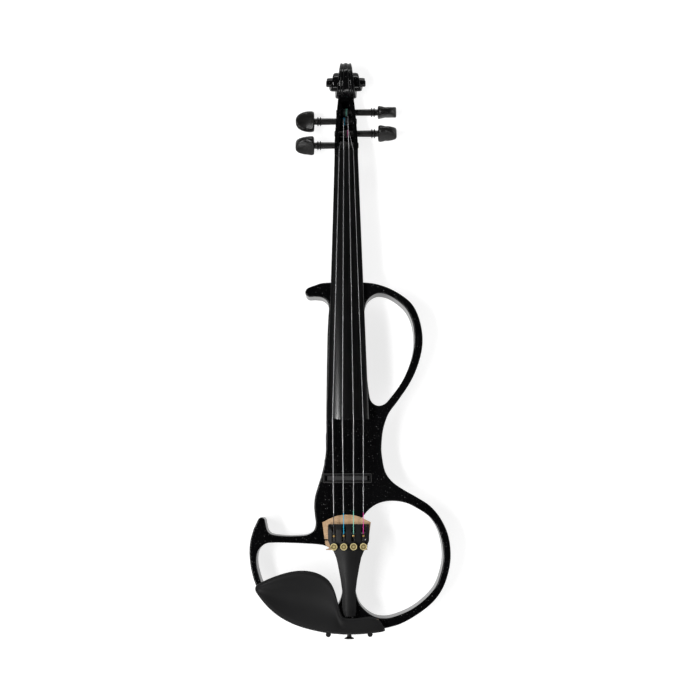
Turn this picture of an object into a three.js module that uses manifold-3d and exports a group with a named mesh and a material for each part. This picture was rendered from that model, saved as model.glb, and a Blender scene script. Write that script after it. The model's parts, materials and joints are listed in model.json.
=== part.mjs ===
// Electric violin with an open frame body, lying on its back.
// Millimetres. +Y runs to the scroll, +X to the treble side, +Z to the player's view of the front.
// While the pieces are made, y = 0 is the bridge line, x = 0 the centre line and z = 0 the table.
import * as THREE from 'three';
import Module from 'manifold-3d';
import { mergeVertices } from 'three/addons/utils/BufferGeometryUtils.js';

const wasm = await Module();
wasm.setup();

// Clearances shared by all pieces
const seatGap = 0.3;
const overrun = 1;
const half = 0.5;

// String layout
const stringLength = 328;
const stringNames = ['g', 'd', 'a', 'e'];
const stringRadii = [0.42, 0.4, 0.36, 0.32];
const nutSpread = 14.9;
const bridgeSpread = 33.6;
const innerStringShare = 0.36;
const stringSides = 6;
const stringOverBoard = 0.35;

// Body
const bodyHalfWidth = 101;
const bodyLength = 347.5;
const tailReach = 149.5;
const bodyThickness = 32;
const backHeight = 9;
const edgeRound = 2.4;
const roundSteps = 1;
const tipStart = THREE.MathUtils.degToRad(20);
const tipSteps = 5;
const outlineSteps = 2;
const rightHoopShares = [
  [0.135, 1], [0.272, 0.996], [0.413, 0.983], [0.553, 0.96], [0.652, 0.934], [0.716, 0.897],
  [0.751, 0.848], [0.745, 0.801], [0.695, 0.749], [0.619, 0.703], [0.508, 0.656], [0.407, 0.616],
  [0.353, 0.572], [0.334, 0.529], [0.336, 0.495], [0.367, 0.449], [0.435, 0.42], [0.544, 0.397],
  [0.681, 0.374], [0.81, 0.349], [0.912, 0.313], [0.983, 0.267], [1.007, 0.216], [0.99, 0.168],
  [0.928, 0.116], [0.828, 0.076], [0.679, 0.042], [0.501, 0.014], [0.32, 0],
];
const tailToTipShares = [
  [-0.3, 0], [-0.48, 0.014], [-0.657, 0.041], [-0.804, 0.078], [-0.902, 0.117], [-0.957, 0.163],
  [-0.98, 0.211], [-0.973, 0.251], [-0.94, 0.286],
];
const tipCentreShares = [-0.863, 0.3085];
const tipRadius = 3.7;
const leftArmShares = [
  [-0.81, 0.286], [-0.79, 0.276], [-0.749, 0.27], [-0.637, 0.266], [-0.5, 0.266], [-0.407, 0.269],
  [-0.346, 0.28], [-0.325, 0.3], [-0.333, 0.324], [-0.34, 0.352], [-0.329, 0.38], [-0.298, 0.41],
  [-0.264, 0.441], [-0.235, 0.478], [-0.219, 0.525], [-0.215, 0.632], [-0.208, 0.746], [-0.2, 0.845],
];
const upperHookShares = [
  [-0.19, 0.9], [-0.184, 0.926], [-0.202, 0.944], [-0.25, 0.955], [-0.32, 0.958], [-0.385, 0.958],
  [-0.418, 0.966], [-0.416, 0.977], [-0.386, 0.985], [-0.32, 0.992], [-0.25, 0.998], [-0.139, 1],
];
const upperWindowShares = [
  [0.332, 0.967], [0.422, 0.96], [0.521, 0.941], [0.601, 0.916], [0.655, 0.878], [0.671, 0.833],
  [0.653, 0.787], [0.598, 0.74], [0.523, 0.699], [0.433, 0.664], [0.368, 0.644], [0.298, 0.639],
  [0.238, 0.65], [0.213, 0.674], [0.188, 0.743], [0.173, 0.817], [0.166, 0.882], [0.173, 0.919],
  [0.203, 0.946], [0.263, 0.962],
];
const rightWindowShares = [
  [0.148, 0.321], [0.221, 0.344], [0.315, 0.359], [0.438, 0.364], [0.571, 0.358], [0.697, 0.34],
  [0.807, 0.317], [0.882, 0.284], [0.924, 0.243], [0.935, 0.2], [0.91, 0.16], [0.856, 0.12],
  [0.767, 0.089], [0.64, 0.06], [0.504, 0.041], [0.371, 0.031], [0.256, 0.035], [0.159, 0.053],
  [0.094, 0.078], [0.061, 0.116], [0.059, 0.162], [0.059, 0.21], [0.078, 0.261], [0.103, 0.295],
];
const leftWindowShares = [
  [-0.906, 0.214], [-0.879, 0.231], [-0.819, 0.244], [-0.738, 0.247], [-0.578, 0.246], [-0.431, 0.244],
  [-0.295, 0.241], [-0.216, 0.235], [-0.137, 0.219], [-0.083, 0.196], [-0.061, 0.162], [-0.061, 0.116],
  [-0.092, 0.078], [-0.157, 0.053], [-0.25, 0.035], [-0.363, 0.031], [-0.5, 0.042], [-0.637, 0.062],
  [-0.757, 0.09], [-0.843, 0.121], [-0.892, 0.16], [-0.911, 0.189],
];

// Fingerboard and neck
const boardLength = 270;
const boardNutWidth = 24;
const boardEndWidth = 42;
const boardEdge = 5;
const boardCamber = 42;
const boardScoop = 0.7;
const boardProjection = 27;
const neckAngle = THREE.MathUtils.degToRad(4.5);
const boardStations = 7;
const boardAcross = 10;
const neckDepthAtNut = 13.5;
const neckDepthAtHeel = 15.5;
const neckAcross = 10;
const neckFullness = 0.8;
const heelReach = 26;
const heelLift = 2.5;
const heelSteps = 5;
const wedgeLength = 46;
const wedgeSlant = 9;
const wedgeInset = 1.2;

// Nut
const nutLength = 5.5;
const nutRise = 0.9;
const nutAcross = 8;

// Pegbox: places along its length, from the nut to the throat, and its sizes there
const pegboxLength = 75;
const pegboxHalfWidth = 12.2;
const pegboxBelowCrest = 6.2;
const pegboxShares = [
  [0, 1, 0.96, 0.6], [0.16, 0.98, 0.93, 0.43], [0.33, 0.92, 0.82, 0.29], [0.52, 0.84, 0.7, 0.165],
  [0.72, 0.72, 0.61, 0.075], [0.84, 0.655, 0.54, 0.035], [0.92, 0.64, 0.46, 0.016], [1, 0.64, 0.4, 0.008],
];
const cheekWall = 4.2;
const pegboxFloor = 3.2;
const hollowStart = 4.2;
const hollowEnd = 57.5;
const backCorner = 2.6;
const endCornerShare = 0.12;

// Scroll
const scrollFromNut = 80.6;
const scrollReach = 21.9;
const scrollShrink = 0.524;
const scrollSquash = 0.92;
const scrollHalfWidth = 20;
const scrollTurns = 2.5;
const scrollSteps = 16;
const wedgeOverlapShare = 0.1;
const scrollWidthShares = [
  [0, 0.4], [0.25, 0.28], [0.42, 0.36], [0.75, 0.56], [1.25, 0.63], [1.75, 0.82], [2.25, 1], [2.5, 1],
];
const eyeRadius = 3.4;
const eyeProud = 0.5;
const fluteRadius = 2.2;
const fluteDepth = 0.9;
const fluteSpreadShare = 0.48;
const fluteTurns = 0.55;
const fluteSides = 6;

// Pegs: along in shares of the pegbox's length, rise above its floor in shares of the shaft's radius,
// and the string's end in shares of its half width
const pegRowShares = [
  { name: 'g', side: -1, along: 0.1973, rise: 1.454, turn: 0.9, loops: 3.5, lead: -0.4754 },
  { name: 'd', side: -1, along: 0.5627, rise: 2.011, turn: 0, loops: 3.5, lead: -0.2295 },
  { name: 'a', side: 1, along: 0.6973, rise: 1.909, turn: 1.57, loops: 3, lead: 0.1311 },
  { name: 'e', side: 1, along: 0.376, rise: 1.723, turn: 1.2, loops: 4, lead: 0.2131 },
];
const pegTipRadius = 3;
const pegCollarRadius = 3.5;
const pegReach = 52.5;
const pegHeadLength = 19.5;
const pegHeadWidth = 21.5;
const pegHeadThickness = 12;
const pegTipProud = 0.8;
const pegRingRadius = 4.9;
const pegRingWidth = 1.4;
const pegRingPitch = 2.6;
const pegNeckLength = 3;
const pegSides = 12;
const pegHeadAcross = 12;
const pegHeadShares = [
  [0, 0.42, 0.78], [0.06, 0.8, 1], [0.25, 0.98, 0.94], [0.5, 1, 0.86], [0.72, 0.86, 0.86],
  [0.9, 0.56, 0.78], [0.97, 0.34, 0.6], [1, 0.16, 0.36],
];
const windingSteps = 12;
const windingSides = 6;
const windingAir = 0.5;

// Tailpiece
const tailpieceTop = -45.5;
const tailpieceLength = 90.5;
const tailpieceHalfWidth = 20.5;
const tailpieceBottom = 46;
const tailpieceHeight = 8.6;
const tailpieceShares = [
  [0, 0.985, 0.78, 0.6], [0.06, 1, 0.98, 0.74], [0.18, 0.99, 1, 0.74], [0.235, 0.88, 1, 0.76],
  [0.29, 0.74, 0.98, 0.74], [0.36, 0.61, 0.92, 0.66], [0.44, 0.53, 0.86, 0.6], [0.6, 0.4, 0.8, 0.55],
  [0.72, 0.33, 0.76, 0.52], [0.94, 0.34, 0.74, 0.5], [1, 0.3, 0.68, 0.46],
];
const facetShare = 0.35;
const tailpieceTopSkin = 2.7;
const tailpieceSideSkin = 2.4;
const tailpieceHollowEnd = 23.8;
const tailpieceNose = 1.6;

// Fine tuners, shared by the four strings
const tunerSpread = 29.2;
const innerTunerShare = 0.33;
const tunerLine = -67.3;
const leverPivot = -54.6;
const leverPivotHeight = 50;
const leverWidth = 3.2;
const leverHub = 1.9;
const hubSteps = 6;
const hubStart = THREE.MathUtils.degToRad(30);
const leverArmHeight = 1.5;
const leverTail = 1.6;
const forkThickness = 1.5;
const forkRise = 4.4;
const forkFloor = 2.9;
const ballRadius = 1.4;
const axleRadius = 0.9;
const screwRadius = 1.15;
const screwTravel = 2.7;
const knobRadius = 3.4;
const knobHeight = 3.4;
const knobRecess = 0.9;
const knobRim = 0.9;
const knobTeeth = 12;
const knobTooth = 0.35;
const slotWidth = 4.2;
const slotFront = 6.6;
const slotTail = 7.8;

// Bridge, lying flat with its feet to the tail
const bridgeOffset = -2;
const bridgeHeight = 34.8;
const bridgeHalfWidth = 24.2;
const bridgeFeetLine = -71.1;
const bridgeFootThickness = 4.3;
const bridgeTopThickness = 1.8;
const bridgeShares = [
  [0, 1], [0.22, 0.99], [0.45, 0.955], [0.68, 0.895], [0.88, 0.825], [1, 0.785], [0.99, 0.73],
  [0.95, 0.52], [0.91, 0.31], [0.66, 0.3], [0.66, 0.275], [0.89, 0.265], [0.86, 0.14], [0.72, 0.06],
  [0.855, 0.022], [0.855, 0], [0.5, 0], [0.52, 0.06], [0.6, 0.12], [0.58, 0.18], [0.35, 0.235], [0, 0.25],
];
const heartShares = [
  [0, 0.46], [0.13, 0.55], [0.15, 0.63], [0.08, 0.66], [0, 0.62],
  [-0.08, 0.66], [-0.15, 0.63], [-0.13, 0.55],
];

// Pickup under the bridge line
const pickupOffset = -1;
const pickupLength = 49;
const pickupWidth = 9.4;
const pickupRim = 2.1;
const pickupDepth = 2;
const pickupProud = 0.5;
const pickupPadLength = 40;
const pickupPadWidth = 4.4;

// Tail: saddle, button, gut
const saddleWidth = 30;
const saddleLength = 5.5;
const saddleDepth = 5;
const saddleRise = 2.2;
const gutRadius = 0.9;
const gutSpread = 6.8;
const gutSides = 8;
const gutStart = -125;
const gutHeight = 49.3;
const buttonHeight = 25;
const buttonRoot = 13;
const buttonShankRadius = 3;
const buttonCollar = 5.4;
const buttonCollarLength = 1.6;
const buttonNeck = 2.1;
const buttonNeckLength = 5.6;
const buttonHead = 5;
const buttonHeadLength = 3.6;
const buttonSides = 20;

// Chinrest: places across it, its front and tail edges, rim height and dish depth there
const chinrestSpan = 128;
const chinrestLeft = -92.6;
const chinrestBreadth = 64;
const chinrestTail = -153.5;
const chinrestHeight = 17.4;
const chinrestDish = 11;
const chinrestShares = [
  [0, 0.735, 0.68, 0.62, 0.02], [0.016, 0.785, 0.63, 0.8, 0.06], [0.052, 0.82, 0.53, 0.95, 0.22],
  [0.114, 0.88, 0.39, 1, 0.36], [0.192, 0.936, 0.266, 1, 0.46], [0.286, 0.985, 0.166, 0.99, 0.5],
  [0.38, 1, 0.1, 0.97, 0.5], [0.473, 0.965, 0.055, 0.95, 0.44], [0.536, 0.9, 0.03, 0.93, 0.36],
  [0.587, 0.81, 0.016, 0.91, 0.27], [0.621, 0.65, 0.01, 0.89, 0.2], [0.644, 0.45, 0.007, 0.87, 0.14],
  [0.668, 0.268, 0.003, 0.85, 0.05], [0.708, 0.264, 0, 0.83, 0.05], [0.762, 0.256, 0, 0.81, 0.04],
  [0.825, 0.27, 0.006, 0.79, 0.03], [0.887, 0.272, 0.014, 0.76, 0.03], [0.946, 0.21, 0.028, 0.72, 0.02],
  [0.981, 0.13, 0.04, 0.66, 0.02], [1, 0.085, 0.055, 0.58, 0.01],
];
const chinrestUnderShare = 0.42;
const chinrestEdgeShare = 0.22;
const chinrestLipShare = 0.12;
const chinrestSlopeShare = 0.8;
const chinrestRim = 5;
const clampSpread = 41;
const clampLine = -152.9;
const lugRadius = 2.5;
const chinFootStart = 16.5;
const chinFootLength = 12.5;
const chinFootBreadth = 9.4;
const chinFootInset = 0.8;
const corkThickness = 1.7;
const barrelRadius = 2.6;
const barrelLength = 21;
const barrelLow = 17;
const barrelBore = 1.6;
const barrelWaist = 2.2;
const barrelSides = 16;
const studRadius = 1.3;
const studOverlap = 8;
const studSides = 10;
const footThickness = 5.2;
const footHalfWidth = 27;
const footBreadth = 13;
const footEdge = 1.6;

// Electronics in the back of the body
const bayOffset = 6;
const bayLine = 19;
const bayWidth = 44;
const bayLength = 62;
const bayDepth = 21;
const coverLip = 3;
const coverThickness = 2.4;
const coverCorner = 4;
const coverFlush = 0.2;
const knobSpacing = 30;
const controlKnobRadius = 8;
const controlKnobHeight = 5.2;
const controlKnobEdge = 1;
const controlTeeth = 18;
const controlTooth = 0.5;
const shaftRadius = 3;
const potRadius = 8;
const potHeight = 6.5;
const potBushRadius = 4.4;
const potBushLength = 3.2;
const switchOffset = -14;
const switchWidth = 4;
const switchLength = 6.5;
const switchTravel = 3;
const switchProud = 1.2;
const switchStem = 8.2;
const circuitThickness = 1.6;
const circuitWidth = 22;
const circuitLength = 26;
const circuitOffset = 15;
const chipHeight = 3;
const chipWidth = 9;
const chipLength = 13;
const jackLine = 38;
const jackHeight = 24;
const jackFlangeThickness = 2;
const phoneLine = 14;
const jackSizes = { seat: -20.2, flange: 7.6, barrel: 5.4, bore: 3.3, length: 15, depth: 13 };
const phoneSizes = { seat: -21.8, flange: 5, barrel: 3.6, bore: 1.8, length: 12, depth: 11 };
const jackSides = 20;
const batteryOffset = -2;
const batteryLine = 91;
const batteryLength = 48.5;
const batteryWidth = 26.5;
const batteryDepth = 17.5;
const batteryRoom = 0.6;
const terminalRadius = 2.8;
const terminalLength = 2.2;
const terminalSpacing = 12.7;
const doorThickness = 2.2;
const doorLip = 2.2;
const doorPinRadius = 0.8;
const doorPinLength = 2;

// Places worked out from the sizes above
const bodyFront = backHeight + bodyThickness;
const bodyTail = -tailReach;
const bodyTop = bodyLength - tailReach;
const boardEnd = stringLength - boardLength;
const nutBack = stringLength + nutLength;
const pegboxStart = nutBack + seatGap;
const nutCrest = bodyFront + boardProjection - stringLength * Math.tan(neckAngle);
const pegboxDepth = nutCrest - pegboxBelowCrest;
const scrollCentre = stringLength + scrollFromNut;
const tailpieceEnd = tailpieceTop - tailpieceLength;
const axleHalf = tailpieceHalfWidth - tailpieceSideSkin / 2;
const pickupLow = bodyFront - pickupDepth;
const coverLow = backHeight + coverFlush;
const coverHigh = coverLow + coverThickness;
const bayCeiling = backHeight + bayDepth;
const knobLines = [bayLine + knobSpacing / 2, bayLine - knobSpacing / 2];
const doorTop = coverLow + doorThickness;
const batteryRoomLength = batteryLength + 2 * (terminalLength + batteryRoom);
const batteryBay = [batteryLine - batteryRoomLength / 2, batteryLine + batteryRoomLength / 2];
const batteryBayWidth = batteryWidth + 2 * batteryRoom;
const batteryCeiling = doorTop + seatGap + batteryDepth + batteryRoom;
const doorWidth = batteryBayWidth + 2 * (doorLip - seatGap);
const doorAxis = [batteryBay[0] - doorLip + seatGap + doorThickness / 2, coverLow + doorThickness / 2];
const mirror = [-1, 1];

// Shapes and solids
const vector = (x, y, z) => new THREE.Vector3(x, y, z);
const lerp = THREE.MathUtils.lerp;

function volume(positions, index) {
  let sum = 0;
  for (let i = 0; i < index.length; i += 3) {
    const [a, b, c] = [index[i], index[i + 1], index[i + 2]].map((k) => positions[k]);
    sum += a.dot(b.clone().cross(c));
  }
  return sum;
}

function geometryFrom(positions, index) {
  const faces = volume(positions, index) < 0 ? index.toReversed() : index;
  const geometry = new THREE.BufferGeometry();
  const numbers = positions.flatMap((p) => p.toArray());
  geometry.setAttribute('position', new THREE.Float32BufferAttribute(numbers, 3));
  geometry.setIndex(faces);
  return geometry;
}

function capFaces(ring) {
  const normal = vector(0, 0, 0);
  ring.forEach((p, i) => normal.add(p.clone().cross(ring[(i + 1) % ring.length])));
  const drop = normal.toArray().map(Math.abs);
  const axis = drop.indexOf(Math.max(...drop));
  const flat = ring.map((p) => new THREE.Vector2(...p.toArray().filter((value, i) => i !== axis)));
  const flipped = THREE.ShapeUtils.isClockWise(flat);
  const contour = flipped ? flat.toReversed() : flat;
  const faces = THREE.ShapeUtils.triangulateShape(contour, []);
  return flipped ? faces.map((f) => f.map((k) => ring.length - 1 - k).toReversed()) : faces;
}

// A closed solid through rings of points, each ring with as many points
function loft(rings) {
  const count = rings[0].length;
  const positions = rings.flat();
  const index = [];
  for (let r = 0; r + 1 < rings.length; r += 1) {
    for (let k = 0; k < count; k += 1) {
      const a = r * count + k;
      const b = r * count + ((k + 1) % count);
      index.push(a, b, b + count, a, b + count, a + count);
    }
  }
  const last = (rings.length - 1) * count;
  const winding = (ring, faces) => {
    const edge = faces.some((f) => f.some((k, i) => k === 0 && f[(i + 1) % 3] === 1));
    return edge ? faces : faces.map((f) => f.toReversed());
  };
  winding(rings[0], capFaces(rings[0])).forEach((f) => index.push(...f.toReversed()));
  winding(rings.at(-1), capFaces(rings.at(-1))).forEach((f) => index.push(...f.map((k) => k + last)));
  return geometryFrom(positions, index);
}

// A tube of flat-ended rings along a list of points
function tube(points, radius, sides) {
  const tangents = points.map((p, i) => {
    const before = points[Math.max(i - 1, 0)];
    const after = points[Math.min(i + 1, points.length - 1)];
    const into = p.clone().sub(before).normalize();
    const out = after.clone().sub(p).normalize();
    return into.add(out).normalize();
  });
  let side = vector(0, 0, 1);
  if (Math.abs(side.dot(tangents[0])) > Math.cos(neckAngle)) side = vector(1, 0, 0);
  const rings = points.map((p, i) => {
    side = side.clone().addScaledVector(tangents[i], -side.dot(tangents[i])).normalize();
    const up = tangents[i].clone().cross(side);
    return Array.from({ length: sides }, (_, k) => {
      const angle = (2 * Math.PI * k) / sides;
      const [across, high] = [radius * Math.cos(angle), radius * Math.sin(angle)];
      return p.clone().addScaledVector(side, across).addScaledVector(up, high);
    });
  });
  return loft(rings);
}

function plain(geometry) {
  geometry.deleteAttribute('normal');
  geometry.deleteAttribute('uv');
  return mergeVertices(geometry);
}

function solid(geometry) {
  const merged = plain(geometry);
  return new wasm.Manifold(new wasm.Mesh({
    numProp: 3,
    vertProperties: new Float32Array(merged.attributes.position.array),
    triVerts: new Uint32Array(merged.index.array),
  }));
}

function geometryOf(body) {
  const mesh = body.getMesh();
  const geometry = new THREE.BufferGeometry();
  geometry.setAttribute('position', new THREE.BufferAttribute(new Float32Array(mesh.vertProperties), 3));
  geometry.setIndex(new THREE.BufferAttribute(new Uint32Array(mesh.triVerts), 1));
  return geometry;
}

function join(...pieces) {
  return geometryOf(pieces.map(solid).reduce((sum, piece) => sum.add(piece)));
}

function cut(piece, ...cutters) {
  return geometryOf(cutters.map(solid).reduce((rest, cutter) => rest.subtract(cutter), solid(piece)));
}

function block(x, y, z) {
  const box = new THREE.BoxGeometry(x[1] - x[0], y[1] - y[0], z[1] - z[0]);
  return box.translate((x[0] + x[1]) / 2, (y[0] + y[1]) / 2, (z[0] + z[1]) / 2);
}

const around = (centre, size) => [centre - size / 2, centre + size / 2];

// A turned piece: [radius, place] pairs about an axis, laid along x, y or z
function turned(profile, axis, sides) {
  const lathe = new THREE.LatheGeometry(profile.map(([r, h]) => new THREE.Vector2(r, h)), sides);
  if (axis === 'x') lathe.rotateZ(-Math.PI / 2);
  if (axis === 'z') lathe.rotateX(Math.PI / 2);
  const merged = plain(lathe);
  const position = merged.attributes.position;
  const points = Array.from({ length: position.count }, (_, i) => vector().fromBufferAttribute(position, i));
  const faces = [];
  const index = Array.from(merged.index.array);
  for (let i = 0; i < index.length; i += 3) {
    const [a, b, c] = index.slice(i, i + 3);
    if (a !== b && b !== c && c !== a) faces.push(a, b, c);
  }
  return geometryFrom(points, faces);
}

function rod(radius, low, high, axis, sides) {
  return turned([[0, low], [radius, low], [radius, high], [0, high]], axis, sides);
}

// An upright pin at a place in x and y
function post(radius, [low, high], place, sides) {
  return rod(radius, low, high, 'z', sides).translate(...place, 0);
}

function curvedShape(stretches) {
  const shape = new THREE.Shape();
  const points = stretches.map((stretch) => stretch.map(([x, y]) => new THREE.Vector2(x, y)));
  shape.moveTo(points[0][0].x, points[0][0].y);
  points.forEach((stretch, i) => {
    if (i > 0) shape.lineTo(stretch[0].x, stretch[0].y);
    if (stretch.length > 1) shape.splineThru(stretch.slice(1));
  });
  shape.closePath();
  return shape;
}

function roundedRectangle(width, length, corner) {
  const [x, y] = [width / 2, length / 2];
  const shape = new THREE.Shape();
  shape.absarc(x - corner, y - corner, corner, 0, Math.PI / 2);
  shape.absarc(corner - x, y - corner, corner, Math.PI / 2, Math.PI);
  shape.absarc(corner - x, corner - y, corner, Math.PI, 1.5 * Math.PI);
  shape.absarc(x - corner, corner - y, corner, 1.5 * Math.PI, 2 * Math.PI);
  return shape;
}

const flatExtrude = (shape, depth, curveSegments) =>
  new THREE.ExtrudeGeometry(shape, { depth, bevelEnabled: false, curveSegments });

// A disc with upright grooves round its rim
function toothedRing(radius, tooth, teeth) {
  const shape = new THREE.Shape();
  for (let k = 0; k < 2 * teeth; k += 1) {
    const r = k % 2 ? radius - tooth : radius;
    const angle = (Math.PI * k) / teeth;
    if (k === 0) shape.moveTo(r * Math.cos(angle), r * Math.sin(angle));
    else shape.lineTo(r * Math.cos(angle), r * Math.sin(angle));
  }
  return shape;
}

// Lines that several pieces follow
const crest = (y) => bodyFront + boardProjection - y * Math.tan(neckAngle);
const boardBreadth = (y) => lerp(boardNutWidth, boardEndWidth, (stringLength - y) / boardLength);
const camberDrop = (x) => boardCamber - Math.sqrt(boardCamber ** 2 - x ** 2);
const glueAt = (y) => crest(y) - boardEdge - camberDrop(boardBreadth(y) / 2);
const glueLine = (y) => lerp(glueAt(stringLength), glueAt(boardEnd), (stringLength - y) / boardLength);
const bodyPoint = ([x, y]) => [x * bodyHalfWidth, bodyTail + y * bodyLength];
const stringShare = [-1, -innerStringShare, innerStringShare, 1];
const tunerShare = [-1, -innerTunerShare, innerTunerShare, 1];

// Along the x axis: an outline in y and z, made as wide as told and centred on x
function acrossX(shape, width, centre) {
  const geometry = flatExtrude(shape, width);
  const upright = new THREE.Matrix4().makeBasis(vector(0, 1, 0), vector(0, 0, 1), vector(1, 0, 0));
  return geometry.applyMatrix4(upright).translate(centre - width / 2, 0, 0);
}

function polygon(points) {
  return new THREE.Shape(points.map(([x, y]) => new THREE.Vector2(x, y)));
}

// Rows of numbers blended between stations, each row starting with its place
function between(table, place) {
  const next = Math.min(Math.max(table.findIndex((row) => row[0] > place), 1), table.length - 1);
  const after = table.findIndex((row) => row[0] > place) < 0 ? table.length - 1 : next;
  const [a, b] = [table[after - 1], table[after]];
  const t = THREE.MathUtils.clamp((place - a[0]) / (b[0] - a[0]), 0, 1);
  return a.slice(1).map((value, i) => lerp(value, b[i + 1], t));
}

// A socket's bore through the bass wall into the bay, with a flat seat for its flange
function jackBores(line, { seat, flange, barrel }) {
  const outside = -bodyHalfWidth * half;
  const inside = bayOffset - bayWidth / 2 + overrun;
  return [
    rod(barrel + seatGap, outside, inside, 'x', jackSides).translate(0, line, jackHeight),
    rod(flange + seatGap, outside, seat, 'x', jackSides).translate(0, line, jackHeight),
  ];
}

// Body: one slab sawn to its outline, with rounded edges, bays in the back and bores for what it holds
function bodyGeometry() {
  const [tipX, tipY] = bodyPoint(tipCentreShares);
  const tip = Array.from({ length: tipSteps + 1 }, (_, k) => {
    const angle = lerp(Math.PI - tipStart, tipStart, k / tipSteps);
    return [tipX + tipRadius * Math.cos(angle), tipY + tipRadius * Math.sin(angle)];
  });
  const [hoop, tail, arm, hook] = [rightHoopShares, tailToTipShares, leftArmShares, upperHookShares]
    .map((stretch) => stretch.map(bodyPoint));
  const outline = curvedShape([hoop, tail, ...tip.map((point) => [point]), arm, hook]);
  [upperWindowShares, rightWindowShares, leftWindowShares].forEach((shares) => {
    const points = shares.map(bodyPoint).map(([x, y]) => new THREE.Vector2(x, y)).toReversed();
    const window = new THREE.Path();
    window.moveTo(points[0].x, points[0].y);
    window.splineThru([...points.slice(1), points[0]]);
    outline.holes.push(window);
  });
  const slab = new THREE.ExtrudeGeometry(outline, {
    depth: bodyThickness - 2 * edgeRound,
    bevelThickness: edgeRound,
    bevelSize: edgeRound,
    bevelOffset: -edgeRound,
    bevelSegments: roundSteps,
    curveSegments: outlineSteps,
  }).translate(0, 0, backHeight + edgeRound);
  const below = backHeight - overrun;
  const doorRoom = doorWidth + 2 * seatGap;
  const doorRebate = [batteryBay[0] - doorLip, batteryBay[1] + doorLip];
  const pinReach = doorRoom / 2 + doorPinLength;
  const cutters = [
    coverPlate(seatGap, below, coverHigh + seatGap),
    block(around(bayOffset, bayWidth), around(bayLine, bayLength), [below, bayCeiling]),
    block(around(batteryOffset, batteryBayWidth), batteryBay, [below, batteryCeiling]),
    block(around(batteryOffset, doorRoom), doorRebate, [below, doorTop + seatGap]),
    rod(doorPinRadius + seatGap, -pinReach, pinReach, 'x', studSides).translate(batteryOffset, ...doorAxis),
    ...jackBores(jackLine, jackSizes),
    ...jackBores(phoneLine, phoneSizes),
    rod(buttonShankRadius + seatGap, bodyTail - overrun, bodyTail + buttonRoot + seatGap, 'y', buttonSides)
      .translate(0, 0, buttonHeight),
    block(around(0, saddleWidth + 2 * seatGap), [bodyTail - overrun, bodyTail + saddleLength + seatGap],
      [bodyFront - saddleDepth, bodyFront + overrun]),
    pickupPlate(pickupLength + 2 * seatGap, pickupWidth + 2 * seatGap, pickupLow, bodyFront + overrun),
  ];
  return cut(slab, ...cutters);
}

// Fingerboard: cambered across, slightly hollow along, flat underneath
function boardRing(y) {
  const w = boardBreadth(y) / 2;
  const along = (stringLength - y) / boardLength;
  const scoop = 4 * boardScoop * along * (1 - along);
  const top = Array.from({ length: boardAcross + 1 }, (_, k) => {
    const x = lerp(-w, w, k / boardAcross);
    return vector(x, y, crest(y) - scoop - camberDrop(x));
  });
  return [vector(-w, y, glueLine(y)), ...top, vector(w, y, glueLine(y))];
}

function fingerboardGeometry() {
  const rings = Array.from({ length: boardStations }, (_, k) =>
    boardRing(lerp(boardEnd, stringLength, k / (boardStations - 1))));
  return loft(rings);
}

// Neck with its heel, pegbox and scroll, carved from one piece
function neckRing(y, depth) {
  const w = boardBreadth(Math.min(y, stringLength)) / 2;
  const top = glueLine(y) - seatGap;
  const back = Array.from({ length: neckAcross - 1 }, (_, k) => {
    const angle = (Math.PI * (k + 1)) / neckAcross;
    return vector(w * Math.cos(angle), y, top - depth * Math.sin(angle) ** neckFullness);
  });
  return [vector(-w, y, top), vector(w, y, top), ...back];
}

function neckShaft() {
  const heelFace = bodyTop + seatGap;
  const heelStart = heelFace + heelReach;
  const fromNut = (y) => (stringLength - y) / (stringLength - bodyTop);
  const depthAt = (y) => lerp(neckDepthAtNut, neckDepthAtHeel, fromNut(y));
  const stations = [nutBack + seatGap, lerp(nutBack, heelStart, half), heelStart];
  const straight = stations.map((y) => neckRing(y, depthAt(y)));
  const heel = Array.from({ length: heelSteps }, (_, k) => {
    const t = (k + 1) / heelSteps;
    const y = lerp(heelStart, heelFace, t);
    const full = glueLine(y) - seatGap - backHeight - heelLift;
    return neckRing(y, lerp(depthAt(y), full, 1 - Math.sqrt(1 - t ** 2)));
  });
  return loft([...straight, ...heel]);
}

function wedgeGeometry() {
  const low = bodyFront + seatGap;
  const ring = (y, slant) => {
    const w = boardBreadth(y) / 2 - wedgeInset;
    const top = glueLine(y - slant) - seatGap;
    return [vector(-w, y, low), vector(w, y, low), vector(w, y - slant, top), vector(-w, y - slant, top)];
  };
  const root = bodyTop + overrun + seatGap;
  return loft([ring(root, 0), ring(bodyTop, 0), ring(bodyTop - wedgeLength, wedgeSlant)]);
}

function pegboxAt(y) {
  const [width, top, bottom] = between(pegboxShares, (y - pegboxStart) / pegboxLength);
  return { w: width * pegboxHalfWidth, top: top * pegboxDepth, bottom: bottom * pegboxDepth };
}

// Where each peg crosses the pegbox, clear of its floor
const pegRows = pegRowShares.map(({ name, side, along, rise, turn, loops, lead }) => {
  const line = stringLength + along * pegboxLength;
  const height = pegboxAt(line).bottom + pegboxFloor + rise * pegCollarRadius;
  return { name, side, turn, loops, line, height, lead: lead * pegboxHalfWidth };
});

function pegboxOuter() {
  return loft(pegboxShares.map(([along]) => {
    const y = pegboxStart + along * pegboxLength;
    const { w, top, bottom } = pegboxAt(y);
    const c = lerp(backCorner, backCorner * endCornerShare, along);
    return [[-w, top], [w, top], [w, bottom + c], [w - c, bottom], [c - w, bottom], [-w, bottom + c]]
      .map(([x, z]) => vector(x, y, z));
  }));
}

function pegboxHollow() {
  const stops = [hollowStart, ...pegboxShares.slice(2, 5).map(([along]) => along * pegboxLength), hollowEnd];
  return loft(stops.map((along) => {
    const y = pegboxStart + along;
    const { w, top, bottom } = pegboxAt(y);
    const x = w - cheekWall;
    const floor = bottom + pegboxFloor;
    const open = top + overrun;
    return [vector(-x, y, open), vector(x, y, open), vector(x, y, floor), vector(-x, y, floor)];
  }));
}

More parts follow.
